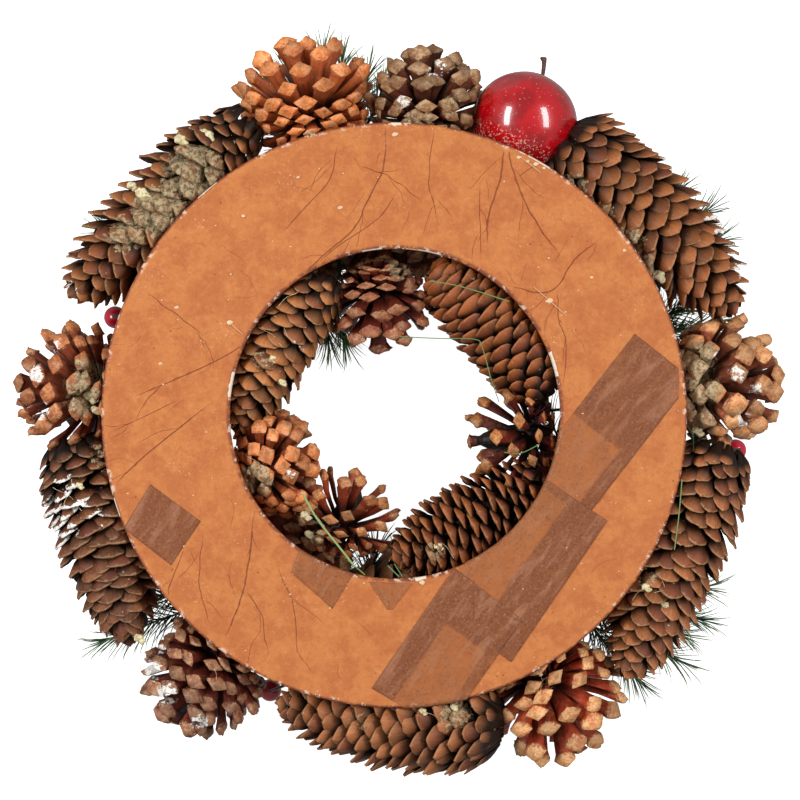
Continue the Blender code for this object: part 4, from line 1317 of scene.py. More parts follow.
# Hot glue: drops as x, y and size in mm, and threads from one point to another.
HOT_GLUE = {
    "outer_spruce_cone_1": ([(138, 73, 2.4), (118, 88, 1.6)], [(112, 92, 124, 84), (118, 88, 130, 92)]),
    "outer_spruce_cone_2": ([(129, -89, 1.6), (139, -98, 1.4)],
        [(127, -88, 141, -99), (133, -92, 146, -92), (139, -98, 137, -86), (129, -89, 122, -96)]),
    "outer_spruce_cone_3": ([(14, -152, 1.4), (30, -150, 1.3)], [(14, -152, 24, -158)]),
    "outer_spruce_cone_4": ([(-161, -37, 1.3)],
        [(-175, -38, -160, -50), (-165, -34, -169, -48), (-150, -30, -138, -24)]),
    "outer_spruce_cone_5": ([(-111, 142, 2.2), (-98, 144, 2.6), (-130, 113, 2.6), (-136, 118, 1.8)],
        [(-135, 116, -124, 110)]),
    "outer_pine_cone_3": ([(158, -8, 2.0)], [(166, -16, 180, -18)]),
    "outer_pine_cone_4": ([(74, -133, 1.0)],
        [(70, -128, 76, -137), (76, -137, 82, -134), (76, -137, 74, -144)]),
    "outer_pine_cone_5": ([(-131, -115, 1.8)], [(-92, -130, -91, -136)]),
    "outer_pine_cone_6": ([(-157, 9, 2.4), (-154, 2, 1.6)], []),
    "inner_spruce_cone_1": ([(-63, 28, 1.4), (-58, 16, 1.3)],
        [(-70, 44, -58, 34), (-62, 50, -54, 38), (-66, 20, -56, 14), (-50, 62, -60, 55)]),
    "inner_spruce_cone_3": ([(22, -68, 1.5)], [(20, -64, 30, -74)]),
    "inner_pine_cone_3": ([(-46, -52, 1.8), (-44, -62, 1.6)], [(-46, -50, -36, -58)]),
    "inner_pine_cone_4": ([(-74, -30, 1.6)], [(-76, -22, -66, -30)]),
}
print("frost patches on", len(SNOW), "cones, glue on", len(HOT_GLUE))

# %% Lay frost and glue on a cone
# Glue and patches start at a level from the cone's axis, and fade in over some height.
GLUE_LEVEL, PATCH_LEVEL, FADE = -6 * MM, -18 * MM, 12 * MM
FROST_DEPTH = 18 * MM
CRUST_SWELL = 0.6 * MM
DROP_R = 1.3 * MM
GLUE_THREAD_R = 0.11 * MM
# A drop is three lumps: how far each lies aside, and its share of the drop's size.
LUMPS = [(0, 0, 1.0), (0.8, -0.9, 0.75), (-0.6, 0.5, 0.6)]


def near_spots(points, spots, axis_z, level):
    """How much each point is covered by spots, given as x, y and reach in mm and an amount."""
    cover = np.zeros(len(points))
    height = soft_step(points[:, 2], axis_z + level, axis_z + level + FADE)
    for x_mm, y_mm, reach_mm, amount in spots:
        spot = at(x_mm, y_mm)
        distance = np.hypot(points[:, 0] - spot.x, points[:, 1] - spot.y)
        near = 1 - soft_step(distance, 0.45 * reach_mm * MM, reach_mm * MM)
        cover = np.maximum(cover, amount * near * height)
    return cover


def top_at(points, x_mm, y_mm):
    """A point on the upper side of a cone, over a place in mm."""
    spot = at(x_mm, y_mm)
    near = np.hypot(points[:, 0] - spot.x, points[:, 1] - spot.y) < 4 * MM
    level = np.percentile(points[near, 2], 92) if near.any() else BACK_Z - 12 * MM
    return Vector((spot.x, spot.y, min(level, BACK_Z - 2 * MM)))


def glue_thread(points, number, x0, y0, x1, y1):
    """A thread pulled from one place to another, which sways aside and is thin in its middle."""
    lift = Vector((0, 0, 1 * MM))
    start, end = top_at(points, x0, y0) + lift, top_at(points, x1, y1) + lift
    side = Vector((y0 - y1, x1 - x0, 0)) * 0.1 * MM
    thread = []
    for t in np.linspace(0, 1, 9):
        sway = side * math.sin(3 * t + number) * t * (1 - t) * 4
        thread.append((start.lerp(end, t) + sway, 0.8 + 2 * (t - 0.5) ** 2))
    return thread


def drops_and_threads(node, points):
    """The drops and threads of hot glue on a cone, lying on its upper side."""
    drops, threads = HOT_GLUE.get(node, ([], []))
    meshes = []
    for k, (x_mm, y_mm, size) in enumerate(drops):
        for j, (dx, dy, share) in enumerate(LUMPS):
            r = DROP_R * size * share
            place = top_at(points, x_mm, y_mm) + Vector((dx, dy, 0)) * size * MM
            meshes.append(drop(place, (r, r * 0.8, r * 0.6), k * 5 + j, 3))
    if threads:
        lines = [glue_thread(points, k, *ends) for k, ends in enumerate(threads)]
        meshes.append(tubes(lines, GLUE_THREAD_R, 5))
    for mesh in meshes:
        set_attribute(mesh, "hot_glue", 1.0)
    return meshes


def dress(node, mesh, frost_share, glue_spots, axis_z):
    """Works out the frost and glue of each vertex, swells the crust, and adds drops of glue."""
    points = points_of(mesh)
    normals = np.empty(len(mesh.vertices) * 3, np.float32)
    mesh.vertices.foreach_get("normal", normals)
    normals = normals.reshape(-1, 3)
    along, chance = values_of(mesh, "along"), values_of(mesh, "chance")
    edge = values_of(mesh, "edge" if "edge" in mesh.attributes else "along")
    below = (axis_z - points[:, 2]) / FROST_DEPTH
    frosty = frost_share - 0.35 * normals[:, 2] + 0.35 * below + 0.5 * (chance - 0.5)
    frost = soft_step(along, 0.72, 0.98) * frosty
    lips = soft_step(edge, 0.45, 0.95) * (0.7 + 0.7 * chance)
    snow = near_spots(points, SNOW.get(node, []), axis_z, PATCH_LEVEL) * lips
    set_attribute(mesh, "frost", np.clip(np.maximum(frost, snow), 0.0, 1.0))
    glue = near_spots(points, glue_spots, axis_z, GLUE_LEVEL)
    set_attribute(mesh, "glue", glue)
    swell = 1.0 + 0.6 * ripple(points[:, 0] + points[:, 2], points[:, 1], 7 * MM, 8)
    points += normals * (glue * swell * soft_step(along, 0.3, 0.7))[:, None] * CRUST_SWELL
    move_points(mesh, keep_clear(points))
    extra = drops_and_threads(node, points)
    return joined(node, [mesh, *extra]) if extra else mesh


print("a drop of glue is", len(LUMPS), "lumps")

# %% [markdown]
# ## From the spiral to a cone in its place
# The spiral is run with the sizes of one cone, then turned and moved so that its base and
# tip meet the solid's. A cone that shows from behind is raised until it is just below the
# flat back.

# %% Grow a cone and set it down
# How far below the back a cone's top stays, and the percentile of points taken as its top.
TOP_DEPTH = 1.5 * MM
TOP_PERCENT = 99.5
# The first words of the settings that the tables of cones give in mm.
IN_MM = ("Shortest", "Core", "Width", "Wobble", "Chips", "Bend")


def grow(plain, cone, scale_object, length, radius, seed):
    """A cone from its base up +Z, in the sizes of its table."""
    sizes = {name: value * MM if name.startswith(IN_MM) else value
             for name, value in {**plain, **cone.differs}.items()}
    sizes.update(Scale=scale_object, Length=length, Radius=radius, Seed=float(seed))
    return scale_recipe.make(bpy.data.meshes.new("seed"), **sizes)


def set_down(mesh, base, tip, roll_deg, level_top):
    """Turns a grown cone into place, and moves it clear of the ring and the floor."""
    turn = (tip - base).to_track_quat("Z", "Y").to_matrix().to_4x4()
    mesh.transform(Matrix.Translation(base) @ turn @ Matrix.Rotation(math.radians(roll_deg), 4, "Z"))
    points = points_of(mesh)
    if level_top:
        points[:, 2] += BACK_Z - TOP_DEPTH - np.percentile(points[:, 2], TOP_PERCENT)
    move_points(mesh, keep_clear(points))


print("a cone grows from", len(scale_recipe.keys) - 1, "sizes and settings")

# %% [markdown]
# ## The spruce cones
# Eleven spruce cones lie along the ring. Some are nearly shut, some gape so that their
# scales are seen edge-on with dark gaps between. Each row of the table gives what differs
# from the plain cone: an open cone has a slim core and long scales, a shut one a fat core
# and short scales.

# %% Grow the spruce cones
SPRUCE_PLAIN = {"Count": 200, "Shortest": 10, "First": 0.02, "Crowding": 1.12, "Floor": -0.05,
                "Widest": 0.28, "Foot": 0.72, "Blunt": 2.9, "Core base": 11, "Core middle": 9,
                "Core tip": 2, "Lift base": 50.0, "Lift middle": 34.0, "Lift tip": 58.0,
                "Width base": 8, "Width middle": 21, "Width tip": 9, "Thickness": 1.0,
                "Untidy": 5.0, "Wobble": 2.6, "Chips": 0.9, "Bend": 0.0}
# How far a cone reaches past either end of its solid for each whole time it is grown.
GROWTH_REACH = 22 * MM
SEED_STEP = 10
# The solid's node and its heading, a shift in mm, growth, roll in degrees, the body and lip
# colours, how frosty, spots of glue, and what differs from the plain cone.
Spruce = namedtuple("Spruce", "node turn_deg shift grown roll tone lip frost glue differs")
SPRUCES = [Spruce(*row) for row in [
    ("outer_spruce_cone_1", -45.3, (0, 4), 1.18, 10, (150, 87, 46), (176, 128, 88), 0.1,
     [(120, 88, 12, 0.9), (128, 77, 11, 0.9), (94, 119, 9, 0.8), (108, 104, 8, 0.7)],
     {"Bend": 3, "Blunt": 3.4, "Foot": 0.95, "Lift base": 56.0}),
    ("outer_spruce_cone_2", -112.3, (1, 0), 1.15, 25, (148, 86, 48), (194, 146, 104), 0.18,
     [(131, -84, 7, 0.5)], {"Bend": -2, "Count": 226, "Lift middle": 28.0}),
    ("outer_spruce_cone_3", 174.1, (1, 8), 1.14, 5, (160, 97, 58), (176, 126, 86), 0.02,
     [(30, -152, 14, 0.6), (-18, -158, 8, 0.4)],
     {"Bend": 3, "Lift middle": 40.0, "Widest": 0.2, "Blunt": 2.3}),
    ("outer_spruce_cone_4", -75.3, (-4, 2), 1.2, 40, (110, 62, 34), (170, 130, 94), 0.46,
     [(-150, -22, 10, 0.5)], {"Bend": 4, "Count": 216, "Width middle": 25, "Lift base": 30.0,
      "Lift middle": 20.0, "Untidy": 7.0, "Widest": 0.2, "Blunt": 2.5, "Foot": 0.52, "Shortest": 14}),
    ("outer_spruce_cone_5", -135.0, (0, -1), 1.2, 15, (144, 84, 44), (180, 134, 92), 0.06,
     [(-104, 124, 21, 0.95), (-122, 104, 19, 0.95), (-138, 92, 14, 0.7)],
     {"Bend": 3, "First": -0.02, "Floor": -0.1, "Foot": 0.54, "Lift base": 34.0,
      "Core base": 9, "Untidy": 6.0}),
    ("inner_spruce_cone_1", -118.1, (-1, -4), 1.18, 10, (166, 101, 54), (190, 140, 96), 0.05,
     [(-68, 28, 9, 0.5)], {"Bend": -3, "Count": 142, "Lift middle": 36.0, "Width middle": 19}),
    ("inner_spruce_cone_2", 132.8, (-3, 1), 1.11, 30, (150, 80, 38), (180, 116, 68), 0.02,
     [], {"Untidy": 3.0, "Count": 132, "Lift middle": 34.0, "Lift tip": 40.0, "Width middle": 19,
          "Width tip": 17, "Core tip": 7, "Blunt": 5.0}),
    ("inner_spruce_cone_3", -153.8, (-1, 0), 1.18, 20, (138, 74, 38), (176, 118, 72), 0.04,
     [(20, -72, 9, 0.5)], {"Count": 158, "Lift base": 20.0, "Lift middle": 6.0, "Lift tip": 38.0,
      "Width middle": 19, "Untidy": 4.0}),
    ("front_spruce_cone_1", 136.0, (0, 0), 1.2, 0, (150, 93, 54), (180, 138, 100), 0.62, [], {}),
    ("front_spruce_cone_2", 16.5, (-6, 13), 1.3, 0, (156, 97, 56), (180, 138, 100), 0.55, [], {}),
    ("front_spruce_cone_3", -102.0, (0, 0), 1.2, 0, (144, 89, 52), (180, 138, 100), 0.6, [], {}),
]]
for number, cone in enumerate(SPRUCES):
    way = heading(cone.turn_deg)
    base, tip, radius = lie_of(cone.node, way)
    shift = Vector((*cone.shift, 0.0)) * MM
    longer = way * (cone.grown - 1.0) * GROWTH_REACH
    base, tip = base + shift - longer, tip + shift + longer
    size = ((tip - base).length, radius * cone.grown)
    mesh = grow(SPRUCE_PLAIN, cone, spruce_pattern, *size, number * SEED_STEP)
    set_down(mesh, base, tip, cone.roll, not cone.node.startswith("front"))
    mesh = dress(cone.node, mesh, cone.frost, cone.glue, (base.z + tip.z) / 2)
    finish = spruce_finish(cone.node + "_wood", paint(*cone.tone), paint(*cone.lip))
    add_piece(cone.node + "_scales", mesh, finish, "spruce_scale", cone.node)
    print(cone.node, len(mesh.polygons), "faces")

# %% [markdown]
# ## The pine cones
# Fourteen open pine cones stand out from the ring's flanks and lean towards its front, so
# that from behind they are seen from below: small shut rhombs near the ring, then long
# straps that gape and end in thick shields.

# %% Grow the pine cones
PINE_PLAIN = {"Count": 104, "Shortest": 13, "First": -0.04, "Crowding": 1.75, "Floor": 0.17,
              "Widest": 0.46, "Foot": 0.42, "Blunt": 2.6, "Core base": 15, "Core middle": 6,
              "Core tip": 2, "Lift base": 0.0, "Lift middle": 20.0, "Lift tip": 56.0,
              "Width base": 8.5, "Width middle": 13.5, "Width tip": 12,
              "Thickness": 0.62, "Untidy": 9.0, "Wobble": 3.0, "Chips": 2.4, "Bend": 0.0}
SOLID_DIP_DEG = 3.0
PINE_SEED = 200
# As for the spruce cones, with the dip that the cone leans by. The solids of the flanks dip
# by one small angle, and those of the front point straight down.
Pine = namedtuple("Pine", "node turn_deg dip shift grown roll shield strap frost glue differs")
PINES = [Pine(*row) for row in [
    ("outer_pine_cone_1", 101.0, 16.0, (-1, 3), 1.17, 0, (228, 140, 78), (194, 98, 54), 0.02,
     [(-44, 142, 9, 0.5)], {"Thickness": 0.58}),
    ("outer_pine_cone_2", 83.4, 15.0, (2, 0), 1.18, 20, (150, 110, 72), (108, 56, 40), 0.22,
     [(12, 150, 12, 0.55), (30, 160, 10, 0.5)], {}),
    ("outer_pine_cone_3", 4.0, 9.0, (1, 4), 1.08, 10, (212, 148, 94), (156, 80, 56), 0.3,
     [(158, 28, 13, 0.95), (158, 12, 14, 0.95), (158, -4, 13, 0.95), (162, -16, 8, 0.8)],
     {"Thickness": 0.95}),
    ("outer_pine_cone_4", -61.7, 19.0, (1, 3), 1.2, 30, (210, 152, 98), (164, 60, 34), 0.04,
     [(80, -140, 6, 0.4)], {"Count": 92, "Thickness": 0.62, "Width middle": 14.5}),
    ("outer_pine_cone_5", -128.0, 13.0, (-2, 5), 1.1, 5, (156, 106, 74), (112, 44, 34), 0.36, [],
     {"Thickness": 0.5, "Count": 122, "Crowding": 1.6}),
    ("outer_pine_cone_6", 172.1, 9.0, (5, -1), 1.08, 15, (184, 112, 66), (130, 60, 38), 0.18,
     [(-160, 8, 13, 0.85), (-158, 22, 11, 0.8)], {"Thickness": 0.6}),
    ("inner_pine_cone_1", -86.9, 18.0, (0, -9), 1.34, 0, (152, 92, 58), (104, 38, 26), 0.18,
     [(2, 76, 9, 0.7)], {"Count": 76, "Thickness": 0.46}),
    ("inner_pine_cone_2", -173.8, 14.0, (-4, -1), 1.5, 15, (186, 118, 60), (108, 36, 26), 0.02, [],
     {"Count": 46, "Crowding": 1.3, "Width base": 8, "Width middle": 11, "Width tip": 9}),
    ("inner_pine_cone_3", 68.2, 20.0, (5, 11), 1.42, 30, (176, 114, 66), (140, 56, 32), 0.04,
     [(-42, -66, 10, 0.8), (-46, -56, 8, 0.7)],
     {"Count": 52, "Crowding": 1.45, "Width base": 8, "Width middle": 11, "Width tip": 8}),
    ("inner_pine_cone_4", 20.2, 11.0, (6, -2), 1.4, 20, (212, 130, 74), (154, 74, 42), 0.1,
     [(-72, -34, 13, 0.9)], {"Width base": 7, "Width middle": 11.5, "Width tip": 11, "First": -0.14,
      "Foot": 0.5, "Thickness": 0.85}),
    ("front_pine_cone_1", 90, 90, (-3, -7), 1.45, 0, (182, 132, 88), (120, 56, 36), 0.35, [], {}),
    ("front_pine_cone_2", 0, 90, (-5, 3), 1.4, 0, (176, 126, 84), (118, 54, 34), 0.35, [], {}),
    ("front_pine_cone_3", 0, 90, (-6, 18), 1.5, 0, (186, 134, 88), (124, 58, 38), 0.35, [], {}),
    ("front_pine_cone_4", 0, 90, (4, -5), 1.4, 0, (170, 122, 80), (114, 52, 34), 0.35, [], {}),
]]
for number, cone in enumerate(PINES):
    on_front = cone.dip == 90
    solid_way = heading(cone.turn_deg, cone.dip if on_front else SOLID_DIP_DEG)
    base, tip, radius = lie_of(cone.node, solid_way)
    shift = Vector((*cone.shift, 0.0)) * MM
    base += shift
    tip = base + heading(cone.turn_deg, cone.dip) * (tip + shift - base).length
    size = ((tip - base).length, radius * cone.grown)
    mesh = grow(PINE_PLAIN, cone, pine_pattern, *size, PINE_SEED + number * SEED_STEP)
    set_down(mesh, base, tip, cone.roll, not on_front)
    mesh = dress(cone.node, mesh, cone.frost, cone.glue, (base.z + tip.z) / 2)
    finish = pine_finish(cone.node + "_wood", paint(*cone.shield), paint(*cone.strap))
    add_piece(cone.node + "_scales", mesh, finish, "pine_scale", cone.node)
    print(cone.node, len(mesh.polygons), "faces")

# %% [markdown]
# ## Apples
# The apples are lacquered foam: a smooth round body, very slightly lobed, with a shallow
# dimple where the curved stem stands. The lacquer is one glossy coat over deep red.

# %% Shape an apple and mix its finishes
APPLE_TURNS = 96
APPLE_RINGS = 60
# As shares of the radius: half the height, the dimple's height, the hollow at the bottom
# and how far the lobes stand out.
APPLE_HEIGHT, APPLE_DIMPLE, APPLE_HOLLOW, APPLE_LOBES = 0.95, 0.74, 0.1, 0.012
DENT_DEPTH = 1.1 * MM


def apple_profile(steps):
    """Radius and height of an apple of radius 1, from its bottom to its dimple."""
    turns = np.linspace(0.0, math.pi, steps)
    radius = np.sin(turns)
    top = turns > math.pi / 2
    dimple = (APPLE_HEIGHT - APPLE_DIMPLE) * (1 - soft_step(radius, 0.0, 0.5)) * top
    hollow = APPLE_HOLLOW * (1 - soft_step(radius, 0.0, 0.34)) * ~top
    return radius, -APPLE_HEIGHT * np.cos(turns) - dimple + hollow


def build_apple(name, centre, radius, way, dent):
    """The profile turned round, with lobes near its top and one shallow dent."""
    shape, height = apple_profile(APPLE_RINGS)
    shape, height = shape[1:-1], height[1:-1]
    turns = np.linspace(0.0, 2 * math.pi, APPLE_TURNS, endpoint=False)
    lobes = 1 + APPLE_LOBES * np.cos(5 * turns)[None, :] * soft_step(height, 0.3, 1.0)[:, None]
    x = shape[:, None] * np.cos(turns)[None, :] * lobes
    y = shape[:, None] * np.sin(turns)[None, :] * lobes
    z = np.broadcast_to(height[:, None], x.shape)
    points = (np.stack([x, y, z], 2) * radius).reshape(-1, 3)
    mesh = face_outwards(mesh_from(name, points, capped_faces(len(shape), APPLE_TURNS)))
    upright = way.to_track_quat("Z", "Y").to_matrix().to_4x4()
    mesh.transform(Matrix.Translation(centre) @ upright)
    points = points_of(mesh)
    rays = (points - np.array(centre)) / radius
    depth = soft_step(rays @ np.array(dent), 0.945, 0.99) * DENT_DEPTH
    move_points(mesh, points - rays * depth[:, None])
    return mesh


def red_lacquer():
    """Deep glossy red, with dried specks of glue on the side that touches the ring."""
    skin = Finish("red_lacquer", 0.2, Coat_Weight=1.0, Coat_Roughness=0.06)
    cloud = skin.noise(14 * MM, 3.0)
    streak = skin.noise(2.5 * MM, 3.0)
    colour = skin.mix(paint(186, 2, 16), paint(150, 0, 10), skin.step(cloud, 0.38, 0.62))
    near_ring = 1 - skin.step(radius_from_centre(skin), OUTER_R / MM + 5, OUTER_R / MM + 15)
    specks = skin.step(skin.noise(1.3 * MM, 3.0, 0.7) + 0.1 * near_ring, 0.66, 0.7)
    skin.feed("Base Color", skin.mix(colour, paint(226, 190, 176), specks * 0.7))
    skin.feed("Roughness", 0.18 + 0.14 * streak + 0.4 * specks)
    skin.relief(cloud + 0.3 * specks, 0.2 * MM, 0.25)
    return skin


def dried_stem():
    bark = Finish("dried_stem", 0.7)
    grain = bark.noise(1.4 * MM, 4.0, 0.7)
    bark.feed("Base Color", bark.mix(paint(70, 42, 40), paint(122, 86, 76), bark.step(grain, 0.4, 0.7)))
    bark.feed("Roughness", 0.6 + 0.2 * grain)
    bark.relief(grain, 0.3 * MM, 0.6)
    return bark


lacquer, bark = red_lacquer(), dried_stem()
print("apple:", APPLE_RINGS, "rings of", APPLE_TURNS, "points")

# %% Place the apples and their stems
STEM_R, FORK_R = 1.1 * MM, 1.0 * MM
STEM_SINK = 1.0 * MM
STEM_BEND = 4.5 * MM
FRONT_STEM_DOWN = math.radians(30.0)


def build_stem(centre, radius, way, height):
    """A curved stem, thin above the dimple and forked where it was cut."""
    left = Vector((-1, 0, 0))
    bend = (left - way * way.dot(left)).normalized()
    foot = radius * APPLE_DIMPLE - STEM_SINK
    path, thick = [], []
    for t in np.linspace(0.0, 1.0, 12):
        path.append(centre + way * (foot + (height + STEM_SINK) * t) + bend * STEM_BEND * t ** 2)
        thick.append(0.9 + 1.1 * max(0.0, t - 0.45) ** 1.5 + 0.35 * max(0.0, 0.15 - t))
    fork = [path[-2], path[-1] + bend * 1.6 * MM]
    return joined("stem", [tube(path, STEM_R, 10, thick), tube(fork, FORK_R, 8, [1.0, 0.9])])

def front_way(angle_deg):
    """A direction outwards from the ring and down, for the stems of the front apples."""
    outwards = on_ring(angle_deg, math.cos(FRONT_STEM_DOWN), 0.0) - RING_CENTRE
    return (outwards - Vector((0, 0, math.sin(FRONT_STEM_DOWN)))).normalized()

# The solid's node, where its stem points, growth, a shift and the stem's length in mm.
Apple = namedtuple("Apple", "node way grown shift stem")
APPLES = [
    Apple("outer_apple", Vector((0.36, 0.8, -0.48)).normalized(), 1.08, (2.5, 2.5), 27.0),
    Apple("front_apple_1", front_way(3.5), 1.0, (0, 0), 16.0),
    Apple("front_apple_2", front_way(-149.5), 1.0, (0, 0), 16.0),
]
DENT = Vector((-0.4, 0.72, 0.57)).normalized()
for apple in APPLES:
    bottom, top, radius = lie_of(apple.node, apple.way)
    radius *= apple.grown
    centre = (bottom + top) / 2 + Vector((*apple.shift, 0.0)) * MM
    centre.z = max(centre.z, radius + 0.5 * MM)
    skin = build_apple(apple.node, centre, radius, apple.way, DENT)
    add_piece(apple.node + "_skin", skin, lacquer, "apple_skin", apple.node)
    stem = build_stem(centre, radius, apple.way, apple.stem * MM)
    add_piece(apple.node + "_twig", stem, bark, "apple_stem", apple.node + "_stem")
print("apples:", len(APPLES))

# %% [markdown]
# ## Needles along a path
# A sprig's shoots follow paths, as the stems did. The tube tree makes their wires, and
# another tree lines a path with needles at the golden angle, as an artificial sprig is
# twisted from wire and strips.

# %% A tree for sprigs
# How much needles vary: in degrees of lean and spin, and as a share of their length.
LEAN_SPREAD, TURN_SPREAD, LENGTH_SPREAD = 11.0, 25.0, 0.16


def needle_tree():
    """Needles along a path: each leans towards the tip, a golden angle from the last."""
    lined = Recipe("needles")
    node = lined.node
    needle = lined.ask("Needle", "NodeSocketObject")
    count = lined.ask("Count", "NodeSocketInt")
    tilt, tip_tilt, length, seed = (lined.ask(n) for n in ("Tilt", "Tip tilt", "Length", "Seed"))
    curve = node("GeometryNodeMeshToCurve", None, (lined.given,))
    points = node("GeometryNodeCurveToPoints", None, {"Curve": curve, "Count": count}, "Points")
    facing = points.beside("Rotation")
    index = node("GeometryNodeInputIndex")
    share = index / (count - 1)
    jitter = [lined.random(-1.0, 1.0, seed + k) for k in range(3)]
    lean = (tilt + (tip_tilt - tilt) * share ** 2.0 + jitter[0] * LEAN_SPREAD) * math.radians(1.0)
    spin = (index * GOLDEN_DEG + jitter[1] * TURN_SPREAD) * math.radians(1.0)
    local = node("FunctionNodeEulerToRotation", None, (lined.vector(lean, 0.0, spin),))
    turn = node("FunctionNodeRotateRotation", {"rotation_space": "LOCAL"}, (facing, local))
    points = lined.label(points, "chance", lined.random(0.0, 1.0, seed + 7))
    one = node("GeometryNodeObjectInfo", None, {"Object": needle}, "Geometry")
    size = length * (1 + LENGTH_SPREAD * jitter[2])
    values = {"Points": points, "Instance": one, "Rotation": turn, "Scale": lined.vector(size, size, size)}
    lined.finish_with(node("GeometryNodeInstanceOnPoints", None, values))
    return lined


needle_recipe = needle_tree()


print("needle tree:", len(needle_recipe.tree.nodes), "nodes,", len(needle_recipe.keys), "inputs")

# %% [markdown]
# ## Sprigs of artificial pine
# Each sprig is wired into the ring's flank, hangs down beside it and then turns outwards
# under the cones, so that from behind only its needles show between them.

# %% Grow the sprigs
# The angle of a sprig's foot round the ring, and the height of its tips over the floor. Each
# tip is a turn round the ring from the foot and a reach from the centre in mm.
Sprig = namedtuple("Sprig", "number angle height tips")
SPRIGS = [Sprig(*row) for row in [
    (1, 104.8, 14, [(-10.8, 188), (-13.5, 180), (-6.8, 196)]),
    (2, 109.2, 14, [(-8.5, 202), (-3, 196), (0.5, 190)]),
    (3, 33, 14, [(0.5, 206), (5.5, 197), (-4, 200)]),
    (4, 18, 14, [(-1, 180), (3, 172)]),
    (5, -45.5, 14, [(5.5, 202), (12.5, 199), (-1, 192), (9, 196), (17, 192)]),
    (6, -101, 16, [(4, 74), (13, 78), (-12, 78), (-25, 80), (-36, 82), (-50, 84)]),
    (7, -133, 14, [(-9, 193), (-12, 170)]),
    (8, 140.5, 14, [(6, 184)]),
    (9, 107, 16, [(13, 52), (20, 57)]),
    (10, -45.5, 16, [(6, 76), (28, 82), (38, 84), (50, 85)]),
]]
SEAT_GAP = 0.4 * MM
SPRIG_FLANK_DEG = 67.5
SPRIG_DROP_DEG = 63.5
SPRIG_DROP = 16 * MM
KNEE_RISE = 9.0
SHOOT_R = 0.9 * MM
NEEDLE_LENGTH = 21 * MM
NEEDLE_COUNT = 130
NEEDLE_TILT, TIP_TILT = 62.0, 22.0
FLOOR_GAP = 0.4 * MM


def flank_point(angle_deg, section_deg, clear):
    """A point just off the ring's half-round section, by angle from its outer rim."""
    turn = math.radians(section_deg)
    radius = MID_R + (HALF_WIDTH + clear) * math.cos(turn)
    return on_ring(angle_deg, radius, BACK_Z - (RING_DEPTH + clear) * math.sin(turn))


def one_needle():
    """A unit needle up Z: a slim three-sided strip with a slight bow and a point."""
    levels = [(0.0, 0.011), (0.35, 0.013), (0.75, 0.01)]
    points, along = [], []
    for height, radius in levels:
        for k in range(3):
            turn = 2 * math.pi * k / 3
            bow = 0.05 * math.sin(math.pi * height)
            points.append((radius * math.cos(turn) * 1.5, radius * math.sin(turn) + bow, height))
            along.append(height)
    points.append((0.0, -0.02, 1.0))
    along.append(1.0)
    faces = [tuple(f) for f in grid_faces(3, 3, wrap_columns=True)]
    faces += [(0, 1, 2)] + [(6 + k, 6 + (k + 1) % 3, 9) for k in range(3)]
    mesh = face_outwards(mesh_from("needle", points, faces))
    set_attribute(mesh, "along", along)
    return mesh


def pine_green():
    strip = Finish("pine_green", 0.45)
    along, chance = strip.attribute("along"), strip.attribute("chance")
    paleness = strip.step(along + 0.8 * (chance - 0.5), 0.2, 1.0)
    tone = strip.mix(paint(42, 76, 44), paint(106, 144, 84), paleness)
    tip = strip.step(along, 0.7, 1.0)
    strip.feed("Base Color", strip.mix(tone, paint(168, 180, 116), tip * 0.6))
    strip.feed("Roughness", 0.38 + 0.2 * chance)
    return strip


def shoot_path(sprig, swing, reach):
    """From the flank of the ring down beside it, then outwards under the cones."""
    side = 180.0 if reach * MM < MID_R else 0.0
    start = flank_point(sprig.angle, abs(side - SPRIG_FLANK_DEG), SEAT_GAP)
    drop = flank_point(sprig.angle, abs(side - SPRIG_DROP_DEG), SPRIG_DROP)
    half_way = MID_R + (reach * MM - MID_R) * 0.5
    knee = on_ring(sprig.angle + swing * 0.5, half_way, (sprig.height + KNEE_RISE) * MM)
    tip = on_ring(sprig.angle + swing, reach * MM, sprig.height * MM)
    return smooth_path([start, drop, knee, tip], 8)


def build_shoot(sprig, number, swing, reach):
    """A wire that thins out, and needles along its outer part."""
    path = shoot_path(sprig, swing, reach)
    thick = [1.0 - 0.4 * i / (len(path) - 1) for i in range(len(path))]
    bare = len(path) // (3 if number == 0 else 2)
    leafy = path_mesh([(point, 1.0) for point in path[bare:]])
    values = {"Needle": needle_pattern, "Count": NEEDLE_COUNT, "Length": NEEDLE_LENGTH, "Tilt": NEEDLE_TILT,
              "Tip tilt": TIP_TILT, "Seed": float(sprig.number * 20 + 3 * number)}
    wire, needles = tube(path, SHOOT_R, 6, thick), needle_recipe.make(leafy, **values)
    move_points(needles, np.maximum(points_of(needles), [-np.inf, -np.inf, FLOOR_GAP]))
    return [wire, needles]


def strand(path, thick, tone):
    """A loose green strip that lies over the cones."""
    points = smooth_path([at(x, y, BACK_Z - deep * MM) for x, y, deep in path], 6)
    mesh = tube(points, thick * MM, 5)
    set_attribute(mesh, "along", tone)
    set_attribute(mesh, "chance", 0.5)
    return mesh


